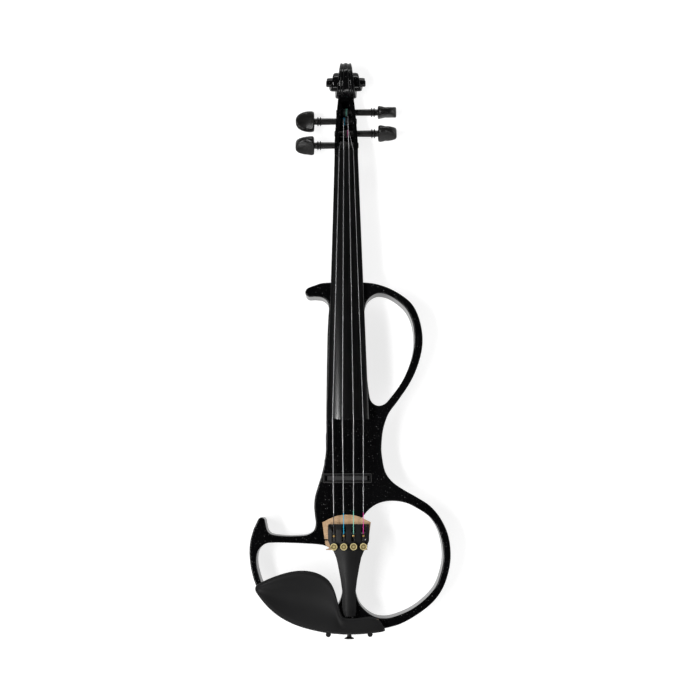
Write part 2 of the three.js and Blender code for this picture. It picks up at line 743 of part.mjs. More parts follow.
const scrollRadius = (turn) => scrollReach * scrollShrink ** (turn - 1 / 4);
const scrollAxis = scrollRadius(0) * scrollSquash;
const scrollHalf = (turn) => between(scrollWidthShares, turn)[0] * scrollHalfWidth;

function scrollPoint(x, turn, radius) {
  const angle = 2 * Math.PI * turn;
  const [out, down] = [radius * Math.sin(angle), radius * Math.cos(angle) * scrollSquash];
  return vector(x, scrollCentre + out, scrollAxis - down);
}

// The volute: wedge after wedge round the eye, each a little smaller and wider than the one before
function scrollWedges() {
  const overlap = wedgeOverlapShare / scrollSteps;
  const steps = Math.round(scrollTurns * scrollSteps);
  return Array.from({ length: steps }, (_, i) => {
    const [from, to] = [i / scrollSteps, (i + 1) / scrollSteps];
    const face = (side) => [
      scrollPoint(side * scrollHalf(to), from, 0),
      scrollPoint(side * scrollHalf(from), from - overlap, scrollRadius(from)),
      scrollPoint(side * scrollHalf(to), to, scrollRadius(to)),
    ];
    return loft([face(-1), face(1)]);
  });
}

// Twin flutes up the back of the head and over the scroll
function fluteGeometry(side) {
  const lift = fluteRadius - fluteDepth;
  const upBack = pegboxShares.slice(3, -1).map(([along]) => {
    const y = pegboxStart + along * pegboxLength;
    const { w, bottom } = pegboxAt(y);
    return vector(side * fluteSpreadShare * w, y, bottom - lift);
  });
  const count = Math.round(fluteTurns * scrollSteps);
  const overTop = Array.from({ length: count + 1 }, (_, i) => {
    const turn = i / scrollSteps;
    return scrollPoint(side * fluteSpreadShare * scrollHalf(turn), turn, scrollRadius(turn) + lift);
  });
  return tube([...upBack, ...overTop], fluteRadius, fluteSides);
}

function neckGeometry() {
  const eyeReach = scrollHalfWidth + eyeProud;
  const eye = rod(eyeRadius, -eyeReach, eyeReach, 'x', pegSides).translate(0, scrollCentre, scrollAxis);
  const carved = join(neckShaft(), wedgeGeometry(), pegboxOuter(), ...scrollWedges(), eye);
  return cut(carved, pegboxHollow(), ...pegRows.map(pegBore), ...mirror.map(fluteGeometry));
}

// Nut: strings lie in half-round slots
function nutGeometry() {
  const ring = (y) => {
    const w = boardNutWidth / 2;
    const top = Array.from({ length: nutAcross + 1 }, (_, k) => {
      const x = lerp(w, -w, k / nutAcross);
      return vector(x, y, crest(y) + nutRise - camberDrop(x));
    });
    return [vector(-w, y, glueLine(y)), vector(w, y, glueLine(y)), ...top];
  };
  const slots = stringNames.map((name, i) => {
    const direction = vector(0, 1, -Math.tan(neckAngle)).multiplyScalar(nutLength);
    const middle = nutContact(i);
    const run = [-1, 0, 1].map((k) => middle.clone().addScaledVector(direction, k));
    return tube(run, stringRadii[i] + seatGap, fluteSides);
  });
  return cut(loft([ring(stringLength + seatGap), ring(nutBack)]), ...slots);
}

// Pegs: tapered shafts, two turned rings and a thumb piece
const shaftEnd = pegReach - pegHeadLength;
const pegTip = (row) => -(pegboxAt(row.line).w + pegTipProud);

// The shaft tapers evenly from its collar to its tip
function pegRadius(row, along) {
  const tip = pegTip(row);
  return lerp(pegTipRadius, pegCollarRadius, (along - tip) / (shaftEnd - tip));
}

function pegTurned(row, profile) {
  const sided = profile.map(([r, x]) => [r, row.side * x]);
  return turned(sided, 'x', pegSides);
}

function pegBore(row) {
  const low = pegTip(row) - overrun;
  const high = -low;
  const [small, large] = [low, high].map((x) => pegRadius(row, x) + seatGap);
  return pegTurned(row, [[0, low], [small, low], [large, high], [0, high]])
    .translate(0, row.line, row.height);
}

function pegGeometry(row) {
  const outerRing = shaftEnd - pegNeckLength - pegRingWidth;
  const rings = [outerRing - pegRingPitch, outerRing].flatMap((x) => [
    [pegRadius(row, x), x],
    [pegRingRadius, x + pegRingWidth / 4],
    [pegRingRadius, x + (pegRingWidth * 3) / 4],
    [pegRadius(row, x), x + pegRingWidth],
  ]);
  const tip = pegTip(row);
  const end = shaftEnd + overrun / 2;
  const start = [[0, tip], [pegRadius(row, tip), tip]];
  const root = [[pegTipRadius, shaftEnd], [pegTipRadius, end], [0, end]];
  const shaft = pegTurned(row, [...start, ...rings, ...root]);
  const head = loft(pegHeadShares.map(([along, wide, thick]) => {
    const x = row.side * (shaftEnd + along * pegHeadLength);
    return Array.from({ length: pegHeadAcross }, (_, k) => {
      const angle = (2 * Math.PI * k) / pegHeadAcross;
      const a = (wide * pegHeadWidth * Math.cos(angle)) / 2;
      const b = (thick * pegHeadThickness * Math.sin(angle)) / 2;
      return vector(x, a, b);
    });
  })).rotateX(row.turn);
  return join(shaft, head).translate(0, row.line, row.height);
}

// Strings: from the ball in its lever, over the board's end and the nut, to the peg
const stringX = (i, spread) => (stringShare[i] * spread) / 2;
const tunerX = (i) => (tunerShare[i] * tunerSpread) / 2;

function boardContact(i, y) {
  const along = (stringLength - y) / boardLength;
  const x = lerp(stringX(i, nutSpread), stringX(i, bridgeSpread), (stringLength - y) / stringLength);
  const clear = stringOverBoard + stringRadii[i];
  return vector(x, y, crest(y) - camberDrop(x) + clear + (along > 1 ? clear : 0));
}

const nutContact = (i) => boardContact(i, stringLength + nutLength / 2);
const ballLine = leverPivot - forkThickness / 2 - seatGap - ballRadius;
const ballHeight = leverPivotHeight + forkFloor + seatGap + Math.max(...stringRadii);

// Where a straight string meets the round of its winding, from behind the nut
function windingContact(i) {
  const row = pegRows.find((peg) => peg.name === stringNames[i]);
  const from = nutContact(i);
  const reach = pegRadius(row, row.side * row.lead) + seatGap + stringRadii[i];
  const [dy, dz] = [from.y - row.line, from.z - row.height];
  const angle = Math.atan2(dz, dy) - Math.acos(reach / Math.hypot(dy, dz));
  return { row, reach, angle };
}

function windingPoint({ row, reach }, x, angle) {
  return vector(x, row.line + reach * Math.cos(angle), row.height + reach * Math.sin(angle));
}

function stringPoints(i) {
  const contact = windingContact(i);
  const meet = windingPoint(contact, contact.row.lead, contact.angle);
  const nut = nutContact(i);
  const back = nut.clone().setY(nutBack).add(vector(0, 0, -Math.tan(neckAngle) * (nutLength / 2)));
  const start = vector(tunerX(i), ballLine + ballRadius + seatGap, ballHeight);
  const bend = 2 * stringRadii[i];
  const slope = meet.clone().sub(back).normalize();
  return [start, boardContact(i, boardEnd - bend), boardContact(i, boardEnd + bend),
    boardContact(i, stringLength), back, back.clone().addScaledVector(slope, bend * 2), meet];
}

// The winding: one unbroken helix that starts beside the string's end, so that the peg can turn
function windingPoints(i) {
  const contact = windingContact(i);
  const { row } = contact;
  const pitch = 2 * stringRadii[i] + windingAir;
  const count = Math.round(row.loops * windingSteps);
  return Array.from({ length: count + 1 }, (_, k) => {
    const loops = k / windingSteps;
    const x = row.lead - row.side * pitch * (1 + loops);
    return windingPoint(contact, x, contact.angle - 2 * Math.PI * loops);
  });
}

function leastGap(points, radius) {
  let least = Infinity;
  points.forEach((a, i) => points.slice(i + Math.round(windingSteps / 2)).forEach((b) => {
    least = Math.min(least, a.distanceTo(b) - 2 * radius);
  }));
  return least;
}

// Tailpiece: a faceted shell, hollow under its head for the tuner levers
function tailpieceGeometry() {
  const rings = tailpieceShares.map(([along, wide, ridge, edge]) => {
    const y = tailpieceTop - along * tailpieceLength;
    const w = wide * tailpieceHalfWidth;
    const z = (share) => tailpieceBottom + share * tailpieceHeight;
    const shoulder = lerp(ridge, edge, facetShare);
    return [[-w, 0], [-w, edge], [-w / 2, shoulder], [0, ridge], [w / 2, shoulder], [w, edge], [w, 0]]
      .map(([x, share]) => vector(x, y, z(share)));
  });
  const ceiling = tailpieceBottom + tailpieceHeight - tailpieceTopSkin;
  const inside = tailpieceHalfWidth - tailpieceSideSkin;
  const above = tailpieceBottom + tailpieceHeight + overrun;
  const low = tailpieceBottom - overrun;
  const under = [tailpieceTop - tailpieceHollowEnd, tailpieceTop - tailpieceNose];
  const hollow = block([-inside, inside], under, [low, ceiling]);
  const slots = stringNames.map((name, i) => block(around(tunerX(i), slotWidth),
    [leverPivot - slotTail, leverPivot + slotFront], [low, above]));
  const screws = stringNames.map((name, i) =>
    post(screwRadius + seatGap, [ceiling - overrun, above], [tunerX(i), tunerLine], studSides));
  const gutEnds = [tailpieceEnd - overrun, gutStart + overrun];
  const guts = mirror.map((side) => rod(gutRadius + seatGap, ...gutEnds, 'y', gutSides)
    .translate((side * gutSpread) / 2, 0, gutHeight));
  return cut(loft(rings), hollow, axleGeometry(seatGap), ...slots, ...screws, ...guts);
}

// Fine tuners: levers on one cross pin, each pushed down by a knurled screw
function axleGeometry(room) {
  return rod(axleRadius + room, -axleHalf - room, axleHalf + room, 'x', studSides)
    .translate(0, leverPivot, leverPivotHeight);
}

function leverGeometry(i) {
  const [y, z] = [leverPivot, leverPivotHeight];
  const f = forkThickness / 2;
  const a = leverArmHeight / 2;
  const end = tunerLine - leverTail;
  const hub = Array.from({ length: hubSteps + 1 }, (_, k) => {
    const angle = lerp(hubStart, -Math.PI, k / hubSteps);
    return [y + leverHub * Math.cos(angle), z + leverHub * Math.sin(angle)];
  });
  const outline = polygon([[y + f, z + forkRise], [y + f, z + leverHub], ...hub, [end, z - a], [end, z + a],
    [y - leverHub * 2, z + a], [y - f, z + leverHub], [y - f, z + forkRise]]);
  const slot = 2 * (stringRadii[i] + seatGap);
  const mouth = block(around(tunerX(i), slot), around(y, 2 * (leverHub + overrun)),
    [z + forkFloor, z + forkRise + overrun]);
  return cut(acrossX(outline, leverWidth, tunerX(i)), mouth, axleGeometry(seatGap));
}

function ballGeometry(i) {
  return new THREE.SphereGeometry(ballRadius, pegSides, gutSides).translate(tunerX(i), ballLine, ballHeight);
}

const screwTip = leverPivotHeight + leverArmHeight / 2 + seatGap;
const tailpieceCrown = tailpieceBottom + tailpieceHeight;
const knobBase = tailpieceCrown + screwTravel + seatGap;
const screwTop = knobBase + knobHeight / 2;

function screwGeometry(i) {
  return post(screwRadius, [screwTip, screwTop], [tunerX(i), tunerLine], studSides);
}

function knobGeometry(i) {
  const place = [tunerX(i), tunerLine];
  const top = knobBase + knobHeight;
  const disc = flatExtrude(toothedRing(knobRadius, knobTooth, knobTeeth), knobHeight)
    .translate(...place, knobBase);
  const dish = post(knobRadius - knobTooth - knobRim, [top - knobRecess, top + overrun], place, pegSides);
  const socket = post(screwRadius + seatGap, [knobBase - overrun, screwTop + seatGap], place, studSides);
  return cut(disc, dish, socket);
}

// Bridge: a maple blade, thick at its feet and thin at its crown
function bridgeGeometry() {
  const place = ([x, h]) => [x * bridgeHalfWidth, h * bridgeHeight];
  const right = bridgeShares.map(place);
  const left = right.slice(1, -1).toReversed().map(([x, h]) => [-x, h]);
  const outline = polygon([...right, ...left]);
  outline.holes.push(new THREE.Path(heartShares.map(place).map(([x, h]) => new THREE.Vector2(x, h))));
  const blade = flatExtrude(outline, 1);
  const position = blade.attributes.position;
  for (let k = 0; k < position.count; k += 1) {
    const thickness = lerp(bridgeFootThickness, bridgeTopThickness, position.getY(k) / bridgeHeight);
    position.setZ(k, position.getZ(k) * thickness);
  }
  return blade.translate(bridgeOffset, bridgeFeetLine, bodyFront + seatGap);
}

// Pickup: a frame let into the front under the bridge line, with a pressure pad in it
function pickupPlate(length, width, low, high) {
  const outline = roundedRectangle(length, width, width / 8);
  return flatExtrude(outline, high - low, outlineSteps).translate(pickupOffset, 0, low);
}

function pickupFrameGeometry() {
  const [low, high] = [pickupLow + seatGap, bodyFront + pickupProud];
  const [length, width] = [pickupLength, pickupWidth].map((size) => size - 2 * pickupRim);
  const window = pickupPlate(length, width, low - overrun, high + overrun);
  return cut(pickupPlate(pickupLength, pickupWidth, low, high), window);
}

function pickupPadGeometry() {
  return pickupPlate(pickupPadLength, pickupPadWidth, pickupLow + seatGap, bodyFront + pickupProud / 2);
}

// Saddle: a hard block in the tail edge, rounded where the tail gut bends over it
function saddleGeometry() {
  const [tail, front] = [bodyTail, bodyTail + saddleLength];
  const [low, high] = [bodyFront - saddleDepth + seatGap, bodyFront + saddleRise];
  const round = saddleRise / 2;
  const side = polygon([
    [tail, low], [front, low], [front, high - round], [front - round, high],
    [tail + saddleRise, high], [tail, high - saddleRise],
  ]);
  return acrossX(side, saddleWidth, 0);
}

// End button, turned, with its shank in the body
function buttonGeometry() {
  const face = bodyTail - seatGap;
  const neck = face - buttonCollarLength;
  const head = neck - buttonNeckLength;
  const root = bodyTail + buttonRoot;
  const end = head - buttonHeadLength;
  const shank = [[0, root], [buttonShankRadius, root], [buttonShankRadius, face]];
  const collar = [[buttonCollar, face], [buttonCollar, neck + buttonCollarLength / 2], [buttonNeck, neck]];
  const knob = [
    [buttonNeck, head + buttonHeadLength / 4], [buttonHead, head], [buttonHead, head - buttonHeadLength / 2],
    [buttonHead / 2, end], [0, end],
  ];
  return turned([...shank, ...collar, ...knob], 'y', buttonSides).translate(0, 0, buttonHeight);
}

// Tail gut: one loop from the tailpiece, over the saddle and round the button's neck
function gutPoints() {
  const x = gutSpread / 2;
  const crown = bodyFront + saddleRise + seatGap + gutRadius;
  const loop = bodyTail - seatGap - buttonCollarLength - gutRadius - seatGap;
  const down = [
    [gutStart, gutHeight], [tailpieceEnd - gutRadius, gutHeight],
    [bodyTail + saddleLength + gutRadius, crown + seatGap], [bodyTail + saddleRise, crown],
    [bodyTail - gutRadius, crown - gutRadius], [loop, crown - gutRadius * 3],
  ];
  const turn = Array.from({ length: gutSides + 1 }, (_, k) => {
    const angle = Math.PI * (1 + k / gutSides);
    return vector(x * Math.cos(angle), loop, buttonHeight + x * Math.sin(angle));
  });
  const left = down.map(([y, z]) => vector(-x, y, z));
  const right = down.toReversed().map(([y, z]) => vector(x, y, z));
  return [...left, ...turn, ...right];
}

// Chinrest: a dished cup to the bass side with an arm across the tail
const chinrestBase = bodyFront + corkThickness + 2 * seatGap;
const chinrestUnder = chinrestBase + chinrestUnderShare * chinrestHeight;

function chinrestRing([along, frontShare, tailShare, rimShare, dishShare]) {
  const x = chinrestLeft + along * chinrestSpan;
  const front = chinrestTail + frontShare * chinrestBreadth;
  const tail = chinrestTail + tailShare * chinrestBreadth;
  const rim = chinrestBase + rimShare * chinrestHeight;
  const dish = rim - dishShare * chinrestDish;
  const edge = Math.min(chinrestRim, (front - tail) * chinrestEdgeShare);
  const lip = lerp(rim, chinrestUnder, chinrestLipShare);
  const waist = lerp(rim, chinrestUnder, half);
  const slope = lerp(rim, dish, chinrestSlopeShare);
  return [
    [front - edge / 3, chinrestUnder], [front, waist], [front - edge / 4, lip], [front - edge, rim],
    [lerp(front, tail, 1 / 3), slope], [lerp(front, tail, half), dish], [lerp(front, tail, 2 / 3), slope],
    [tail + edge, rim], [tail + edge / 4, lip], [tail, waist], [tail + edge / 3, chinrestUnder],
  ].map(([y, z]) => vector(x, y, z));
}

const chinFootX = (side) => around(side * (chinFootStart + chinFootLength / 2), chinFootLength);
const chinFootY = [bodyTail + chinFootInset, bodyTail + chinFootInset + chinFootBreadth];
const studTop = chinrestUnder + studOverlap / 2;
const clampPlace = (side) => [(side * clampSpread) / 2, clampLine];

function chinrestGeometry() {
  const plate = loft(chinrestShares.map(chinrestRing));
  const footHeight = [chinrestBase, chinrestUnder + overrun];
  const feet = mirror.map((side) => block(chinFootX(side), chinFootY, footHeight));
  const lugs = mirror.map((side) =>
    post(lugRadius, [chinrestUnder, studTop + overrun], clampPlace(side), barrelSides));
  const bores = mirror.map((side) =>
    post(studRadius + seatGap, [chinrestUnder - overrun, studTop + seatGap], clampPlace(side), studSides));
  return cut(join(plate, ...feet, ...lugs), ...bores);
}

function chinCorkGeometry(side) {
  const low = bodyFront + seatGap;
  return block(chinFootX(side), chinFootY, [low, low + corkThickness]);
}

// Chinrest clamp: studs, turnbuckle barrels and the foot under the back
const barrelHigh = barrelLow + barrelLength;

function studGeometry(side) {
  return post(studRadius, [barrelHigh - studOverlap, studTop], clampPlace(side), studSides);
}

function barrelGeometry(side) {
  const collar = barrelLength / 6;
  const [low, high] = [barrelLow + collar, barrelHigh - collar];
  return turned([
    [barrelBore, barrelLow], [barrelRadius, barrelLow], [barrelRadius, low], [barrelWaist, low],
    [barrelWaist, high], [barrelRadius, high], [barrelRadius, barrelHigh], [barrelBore, barrelHigh],
    [barrelBore, barrelLow],
  ], 'z', barrelSides).translate(...clampPlace(side), 0);
}

const footTail = clampLine - lugRadius;

function clampFootGeometry() {
  const plate = new THREE.ExtrudeGeometry(roundedRectangle(2 * footHalfWidth, footBreadth, footEdge * 2), {
    depth: footThickness - 2 * footEdge,
    bevelThickness: footEdge,
    bevelSize: footEdge,
    bevelOffset: -footEdge,
    bevelSegments: 1,
    curveSegments: outlineSteps,
  }).translate(0, footTail + footBreadth / 2, footEdge);
  const studs = mirror.map((side) =>
    post(studRadius, [footThickness / 2, barrelLow + studOverlap], clampPlace(side), studSides));
  return join(plate, ...studs);
}

const footCorkGeometry = () => block(around(0, 2 * (footHalfWidth - footEdge)),
  [bodyTail + chinFootInset, footTail + footBreadth - footEdge],
  [footThickness + seatGap, backHeight - seatGap]);

// Back electronics: cover, pots and knobs, switch, circuit, jacks, battery and its door
function coverPlate(room, low, high) {
  const [width, length] = [bayWidth, bayLength].map((size) => size + 2 * (coverLip + room));
  const outline = roundedRectangle(width, length, coverCorner + room);
  return flatExtrude(outline, high - low, 2 * outlineSteps).translate(bayOffset, bayLine, low);
}

function coverGeometry() {
  const through = [coverLow - overrun, coverHigh + overrun];
  const bushes = knobLines.map((y) => post(potBushRadius + seatGap, through, [circuitOffset, y], jackSides));
  const back = bayLine - switchLength / 2 - seatGap;
  const front = bayLine + switchLength / 2 + switchTravel + seatGap;
  const slot = block(around(bayOffset + switchOffset, switchWidth + 2 * seatGap), [back, front], through);
  return cut(coverPlate(0, coverLow, coverHigh), ...bushes, slot);
}

function potGeometry(y) {
  const bush = coverHigh + seatGap - potBushLength + overrun;
  const can = coverHigh + seatGap;
  const bore = shaftRadius + seatGap;
  const [floor, top] = [can + potHeight / 2, can + potHeight];
  return turned([
    [bore, bush], [potBushRadius, bush], [potBushRadius, can], [potRadius, can], [potRadius, top],
    [0, top], [0, floor], [bore, floor], [bore, bush],
  ], 'z', jackSides).translate(circuitOffset, y, 0);
}

function controlKnobGeometry(y) {
  const top = coverLow - seatGap;
  const [face, middle] = [top - controlKnobHeight, top - controlKnobHeight / 2];
  const bevel = face + controlKnobEdge;
  const rim = controlKnobRadius - controlKnobEdge;
  const ring = toothedRing(controlKnobRadius, controlTooth, controlTeeth);
  const grip = flatExtrude(ring, top - bevel).translate(0, 0, bevel);
  const crown = turned([[0, face], [rim - controlKnobEdge, face], [rim, bevel], [rim, middle], [0, middle]],
    'z', controlTeeth);
  const shaft = rod(shaftRadius, middle, coverHigh + potHeight / 2, 'z', barrelSides);
  return join(grip, crown, shaft).translate(circuitOffset, y, 0);
}

function switchGeometry() {
  const x = bayOffset + switchOffset;
  const inside = coverHigh + seatGap;
  const stem = block(around(x, switchWidth), around(bayLine, switchLength),
    [coverLow - switchProud, coverLow + switchStem]);
  const flange = block(around(x, 2 * switchWidth), around(bayLine, switchLength + switchWidth),
    [inside, inside + coverThickness / 2]);
  return join(stem, flange);
}

function circuitGeometry() {
  const top = bayCeiling - seatGap;
  const low = top - circuitThickness;
  const hanging = [low - chipHeight, top - circuitThickness / 2];
  const board = block(around(circuitOffset, circuitWidth), around(bayLine, circuitLength), [low, top]);
  const chip = block(around(circuitOffset - chipWidth / 2, chipWidth), around(bayLine, chipLength), hanging);
  const can = post(chipHeight, hanging, [circuitOffset + chipWidth / 2, bayLine], barrelSides);
  return join(board, chip, can);
}

function jackGeometry(y, { seat, flange, barrel, bore, length, depth }) {
  const under = seat - seatGap;
  const face = under - jackFlangeThickness;
  const [end, stop] = [seat + length, face + depth];
  return turned([
    [bore, face], [flange, face], [flange, under], [barrel, under], [barrel, end],
    [0, end], [0, stop], [bore, stop], [bore, face],
  ], 'x', jackSides).translate(0, y, jackHeight);
}

function doorGeometry() {
  const [y, z] = doorAxis;
  const r = doorThickness / 2;
  const nose = Array.from({ length: hubSteps + 1 }, (_, k) => {
    const angle = Math.PI * (half + k / hubSteps);
    return [y + r * Math.cos(angle), z + r * Math.sin(angle)];
  });
  const far = batteryBay[1] + doorLip - seatGap;
  const plate = acrossX(polygon([...nose, [far, z - r], [far, z + r]]), doorWidth, batteryOffset);
  const reach = doorWidth / 2 + doorPinLength;
  return join(plate, rod(doorPinRadius, -reach, reach, 'x', studSides).translate(batteryOffset, y, z));
}

function batteryGeometry() {
  const low = doorTop + seatGap;
  const start = batteryBay[0] + batteryRoom;
  const end = start + batteryLength;
  const cell = block(around(batteryOffset, batteryWidth), [start, end], [low, low + batteryDepth]);
  const stud = rod(terminalRadius, end - overrun, end + terminalLength, 'y', barrelSides)
    .translate(batteryOffset, 0, low + batteryDepth / 2);
  const studs = mirror.map((side) => stud.clone().translate((side * terminalSpacing) / 2, 0, 0));
  return join(cell, ...studs);
}

// Finishes
function finish(color, roughness, metalness) {
  return new THREE.MeshStandardMaterial({ color, roughness, metalness });
}

const finishes = {
  lacquer: finish(0x0b0b0c, 0.15, 0),
  boardBlack: finish(0x17171a, 0.35, 0),
  satin: finish(0x262627, 0.55, 0),
  darkPlastic: finish(0x1c1c1e, 0.45, 0),
  maple: finish(0xdeb28a, 0.6, 0),
  steel: finish(0xb8babd, 0.3, 1),
  brass: finish(0xcfae62, 0.3, 1),
  chrome: finish(0xc4c6c8, 0.15, 1),
  cork: finish(0xa98358, 0.9, 0),
  gut: finish(0x1d1d1f, 0.5, 0),
  board: finish(0x1e5a34, 0.5, 0),
  cell: finish(0x555a60, 0.4, 0.3),
  silkG: finish(0x2b2b2e, 0.6, 0),
  silkD: finish(0x1ca6c9, 0.6, 0),
  silkA: finish(0x7fcbb2, 0.6, 0),
  silkE: finish(0xd81f8a, 0.6, 0),
};
const silks = [finishes.silkG, finishes.silkD, finishes.silkA, finishes.silkE];

const violin = new THREE.Group();

function add(name, geometry, material) {
  const mesh = new THREE.Mesh(geometry, material);
  mesh.name = name;
  violin.add(mesh);
}

add('body', bodyGeometry(), finishes.lacquer);
add('neck_and_scroll', neckGeometry(), finishes.lacquer);
add('fingerboard', fingerboardGeometry(), finishes.boardBlack);
add('nut', nutGeometry(), finishes.boardBlack);
add('saddle', saddleGeometry(), finishes.boardBlack);
add('end_button', buttonGeometry(), finishes.satin);
add('tail_gut', tube(gutPoints(), gutRadius, gutSides), finishes.gut);
add('tailpiece', tailpieceGeometry(), finishes.satin);
add('tuner_axle', axleGeometry(0), finishes.steel);
stringNames.forEach((name, i) => {
  add(`tuner_lever_${name}`, leverGeometry(i), finishes.steel);
  add(`tuner_screw_${name}`, screwGeometry(i), finishes.brass);
  add(`tuner_knob_${name}`, knobGeometry(i), finishes.brass);
  add(`string_ball_${name}`, ballGeometry(i), finishes.brass);
  add(`string_${name}`, tube(stringPoints(i), stringRadii[i], stringSides), finishes.steel);
  add(`winding_${name}`, tube(windingPoints(i), stringRadii[i], windingSides), silks[i]);
  const gap = leastGap(windingPoints(i), stringRadii[i]);
  console.log(`winding ${name}: least gap to itself ${gap.toFixed(2)} mm`);
});
pegRows.forEach((row) => add(`peg_${row.name}`, pegGeometry(row), finishes.satin));
add('bridge', bridgeGeometry(), finishes.maple);
add('pickup_frame', pickupFrameGeometry(), finishes.darkPlastic);
add('pickup_pad', pickupPadGeometry(), finishes.darkPlastic);
add('chinrest', chinrestGeometry(), finishes.satin);
['left', 'right'].forEach((name, k) => {
  add(`chinrest_cork_${name}`, chinCorkGeometry(mirror[k]), finishes.cork);
  add(`clamp_stud_${name}`, studGeometry(mirror[k]), finishes.chrome);
  add(`clamp_barrel_${name}`, barrelGeometry(mirror[k]), finishes.chrome);
});
add('clamp_foot', clampFootGeometry(), finishes.chrome);
add('clamp_foot_cork', footCorkGeometry(), finishes.cork);
add('control_cover', coverGeometry(), finishes.darkPlastic);
['volume', 'tone'].forEach((name, k) => {
  add(`${name}_pot`, potGeometry(knobLines[k]), finishes.steel);
  add(`${name}_knob`, controlKnobGeometry(knobLines[k]), finishes.darkPlastic);
});
add('power_switch', switchGeometry(), finishes.darkPlastic);
add('preamp_board', circuitGeometry(), finishes.board);
add('output_jack', jackGeometry(jackLine, jackSizes), finishes.chrome);
add('headphone_jack', jackGeometry(phoneLine, phoneSizes), finishes.chrome);
add('battery_door', doorGeometry(), finishes.darkPlastic);
add('battery', batteryGeometry(), finishes.cell);

// The origin stands under the middle of the whole violin
const box = new THREE.Box3().setFromObject(violin);
const middle = box.getCenter(vector());
violin.position.set(-middle.x, -middle.y, -box.min.z);

export default violin;
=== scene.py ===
import bmesh
import bpy
import json
import math
from mathutils import Matrix, Vector

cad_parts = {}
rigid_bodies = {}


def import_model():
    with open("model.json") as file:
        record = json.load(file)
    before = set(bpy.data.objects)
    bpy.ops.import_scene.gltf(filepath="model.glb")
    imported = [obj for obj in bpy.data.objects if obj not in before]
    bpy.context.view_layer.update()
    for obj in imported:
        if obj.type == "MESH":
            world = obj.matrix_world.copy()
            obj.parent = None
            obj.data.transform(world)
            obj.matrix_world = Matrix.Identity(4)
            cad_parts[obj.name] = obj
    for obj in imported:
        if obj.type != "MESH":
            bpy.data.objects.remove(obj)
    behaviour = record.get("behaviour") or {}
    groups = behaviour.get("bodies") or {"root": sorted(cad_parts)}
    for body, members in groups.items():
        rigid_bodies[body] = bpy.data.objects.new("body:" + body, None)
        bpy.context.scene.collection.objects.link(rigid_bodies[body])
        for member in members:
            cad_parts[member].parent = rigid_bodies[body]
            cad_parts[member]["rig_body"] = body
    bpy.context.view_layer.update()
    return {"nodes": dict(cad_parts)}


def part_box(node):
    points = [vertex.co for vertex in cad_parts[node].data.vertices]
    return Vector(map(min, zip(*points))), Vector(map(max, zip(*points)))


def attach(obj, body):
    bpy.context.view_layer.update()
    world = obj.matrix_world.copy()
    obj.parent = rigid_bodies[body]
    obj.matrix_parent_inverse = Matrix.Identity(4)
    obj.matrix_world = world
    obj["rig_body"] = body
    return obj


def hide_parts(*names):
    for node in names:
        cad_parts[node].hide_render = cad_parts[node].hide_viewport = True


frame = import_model()

# Photograph and camera
# The violin lies on its back on a white sheet, and the camera looks down on it from just off the
# tail side. All pieces are drawn in millimetres from the bridge line, and seated in metres.
MM = 0.001
nut_low, nut_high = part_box("nut")
NUT_LINE = 328.3
centre_line = (nut_low.x + nut_high.x) / 2
bridge_line = nut_low.y - NUT_LINE * MM
TO_FRAME = Matrix.Translation((centre_line, bridge_line, 0)) @ Matrix.Scale(MM, 4)

camera_place = (0.00123, -0.1353, 1.4607)
camera_tilt = math.radians(5.2)
camera_roll = math.radians(-0.364)
camera_data = bpy.data.cameras.new("camera")
camera_data.lens = 72.6
camera_data.sensor_width = 36
camera = bpy.data.objects.new("camera", camera_data)
bpy.context.scene.collection.objects.link(camera)
turned_camera = Matrix.Rotation(camera_tilt, 4, "X") @ Matrix.Rotation(camera_roll, 4, "Z")
camera.matrix_world = Matrix.Translation(camera_place) @ turned_camera
bpy.context.scene.camera = camera
bpy.context.scene.view_settings.view_transform = "Standard"

# Shaping
# The tools that the pieces are made with, in millimetres.
LINE_STEPS = 8
GAP = 0.3
DOUBLES = 0.0005
OVERRUN = 1
ALONG_X = Matrix(((0, 0, 1, 0), (1, 0, 0, 0), (0, 1, 0, 0), (0, 0, 0, 1)))
ALONG_Y = Matrix(((-1, 0, 0, 0), (0, 0, 1, 0), (0, 1, 0, 0), (0, 0, 0, 1)))
ALONG_Z = Matrix.Identity(4)


def mixed(a, b, t):
    return a + (b - a) * t


def between(table, place):
    """The rows of a table blended at a place between two of them."""
    for a, b in zip(table, table[1:]):
        if place <= b[0]:
            break
    t = min(max((place - a[0]) / (b[0] - a[0]), 0), 1)
    return [mixed(p, q, t) for p, q in zip(a[1:], b[1:])]


def around(middle, size):
    return (middle - size / 2, middle + size / 2)


def smooth_line(points, closed=False, steps=LINE_STEPS):
    """A fair curve through the points, with so many steps from each to the next."""
    last = len(points) - 1
    spans = len(points) if closed else last

    def point(k):
        return points[k % len(points)] if closed else points[min(max(k, 0), last)]

    line = []
    for i in range(spans):
        a, b, c, d = (point(i + k) for k in (-1, 0, 1, 2))
        for k in range(steps):
            t = k / steps
            line.append(((2 * b) + (c - a) * t + (2 * a - 5 * b + 4 * c - d) * t * t
                         + (3 * b - a - 3 * c + d) * t ** 3) / 2)
    return line if closed else line + [points[-1]]


def alone(piece):
    """Only this piece is selected."""
    bpy.ops.object.select_all(action="DESELECT")
    piece.select_set(True)
    bpy.context.view_layer.objects.active = piece


def placed(name, data):
    """A new object in the scene, the only one selected."""
    piece = bpy.data.objects.new(name, data)
    bpy.context.scene.collection.objects.link(piece)
    alone(piece)
    return piece


def added(kind, name, **settings):
    """A plain mesh of a kind, the only piece selected."""
    bpy.ops.object.select_all(action="DESELECT")
    getattr(bpy.ops.mesh, f"primitive_{kind}_add")(**settings)
    bpy.context.object.name = name
    return bpy.context.object


def moved(piece, place, way=ALONG_Z):
    piece.data.transform(Matrix.Translation(place) @ way)


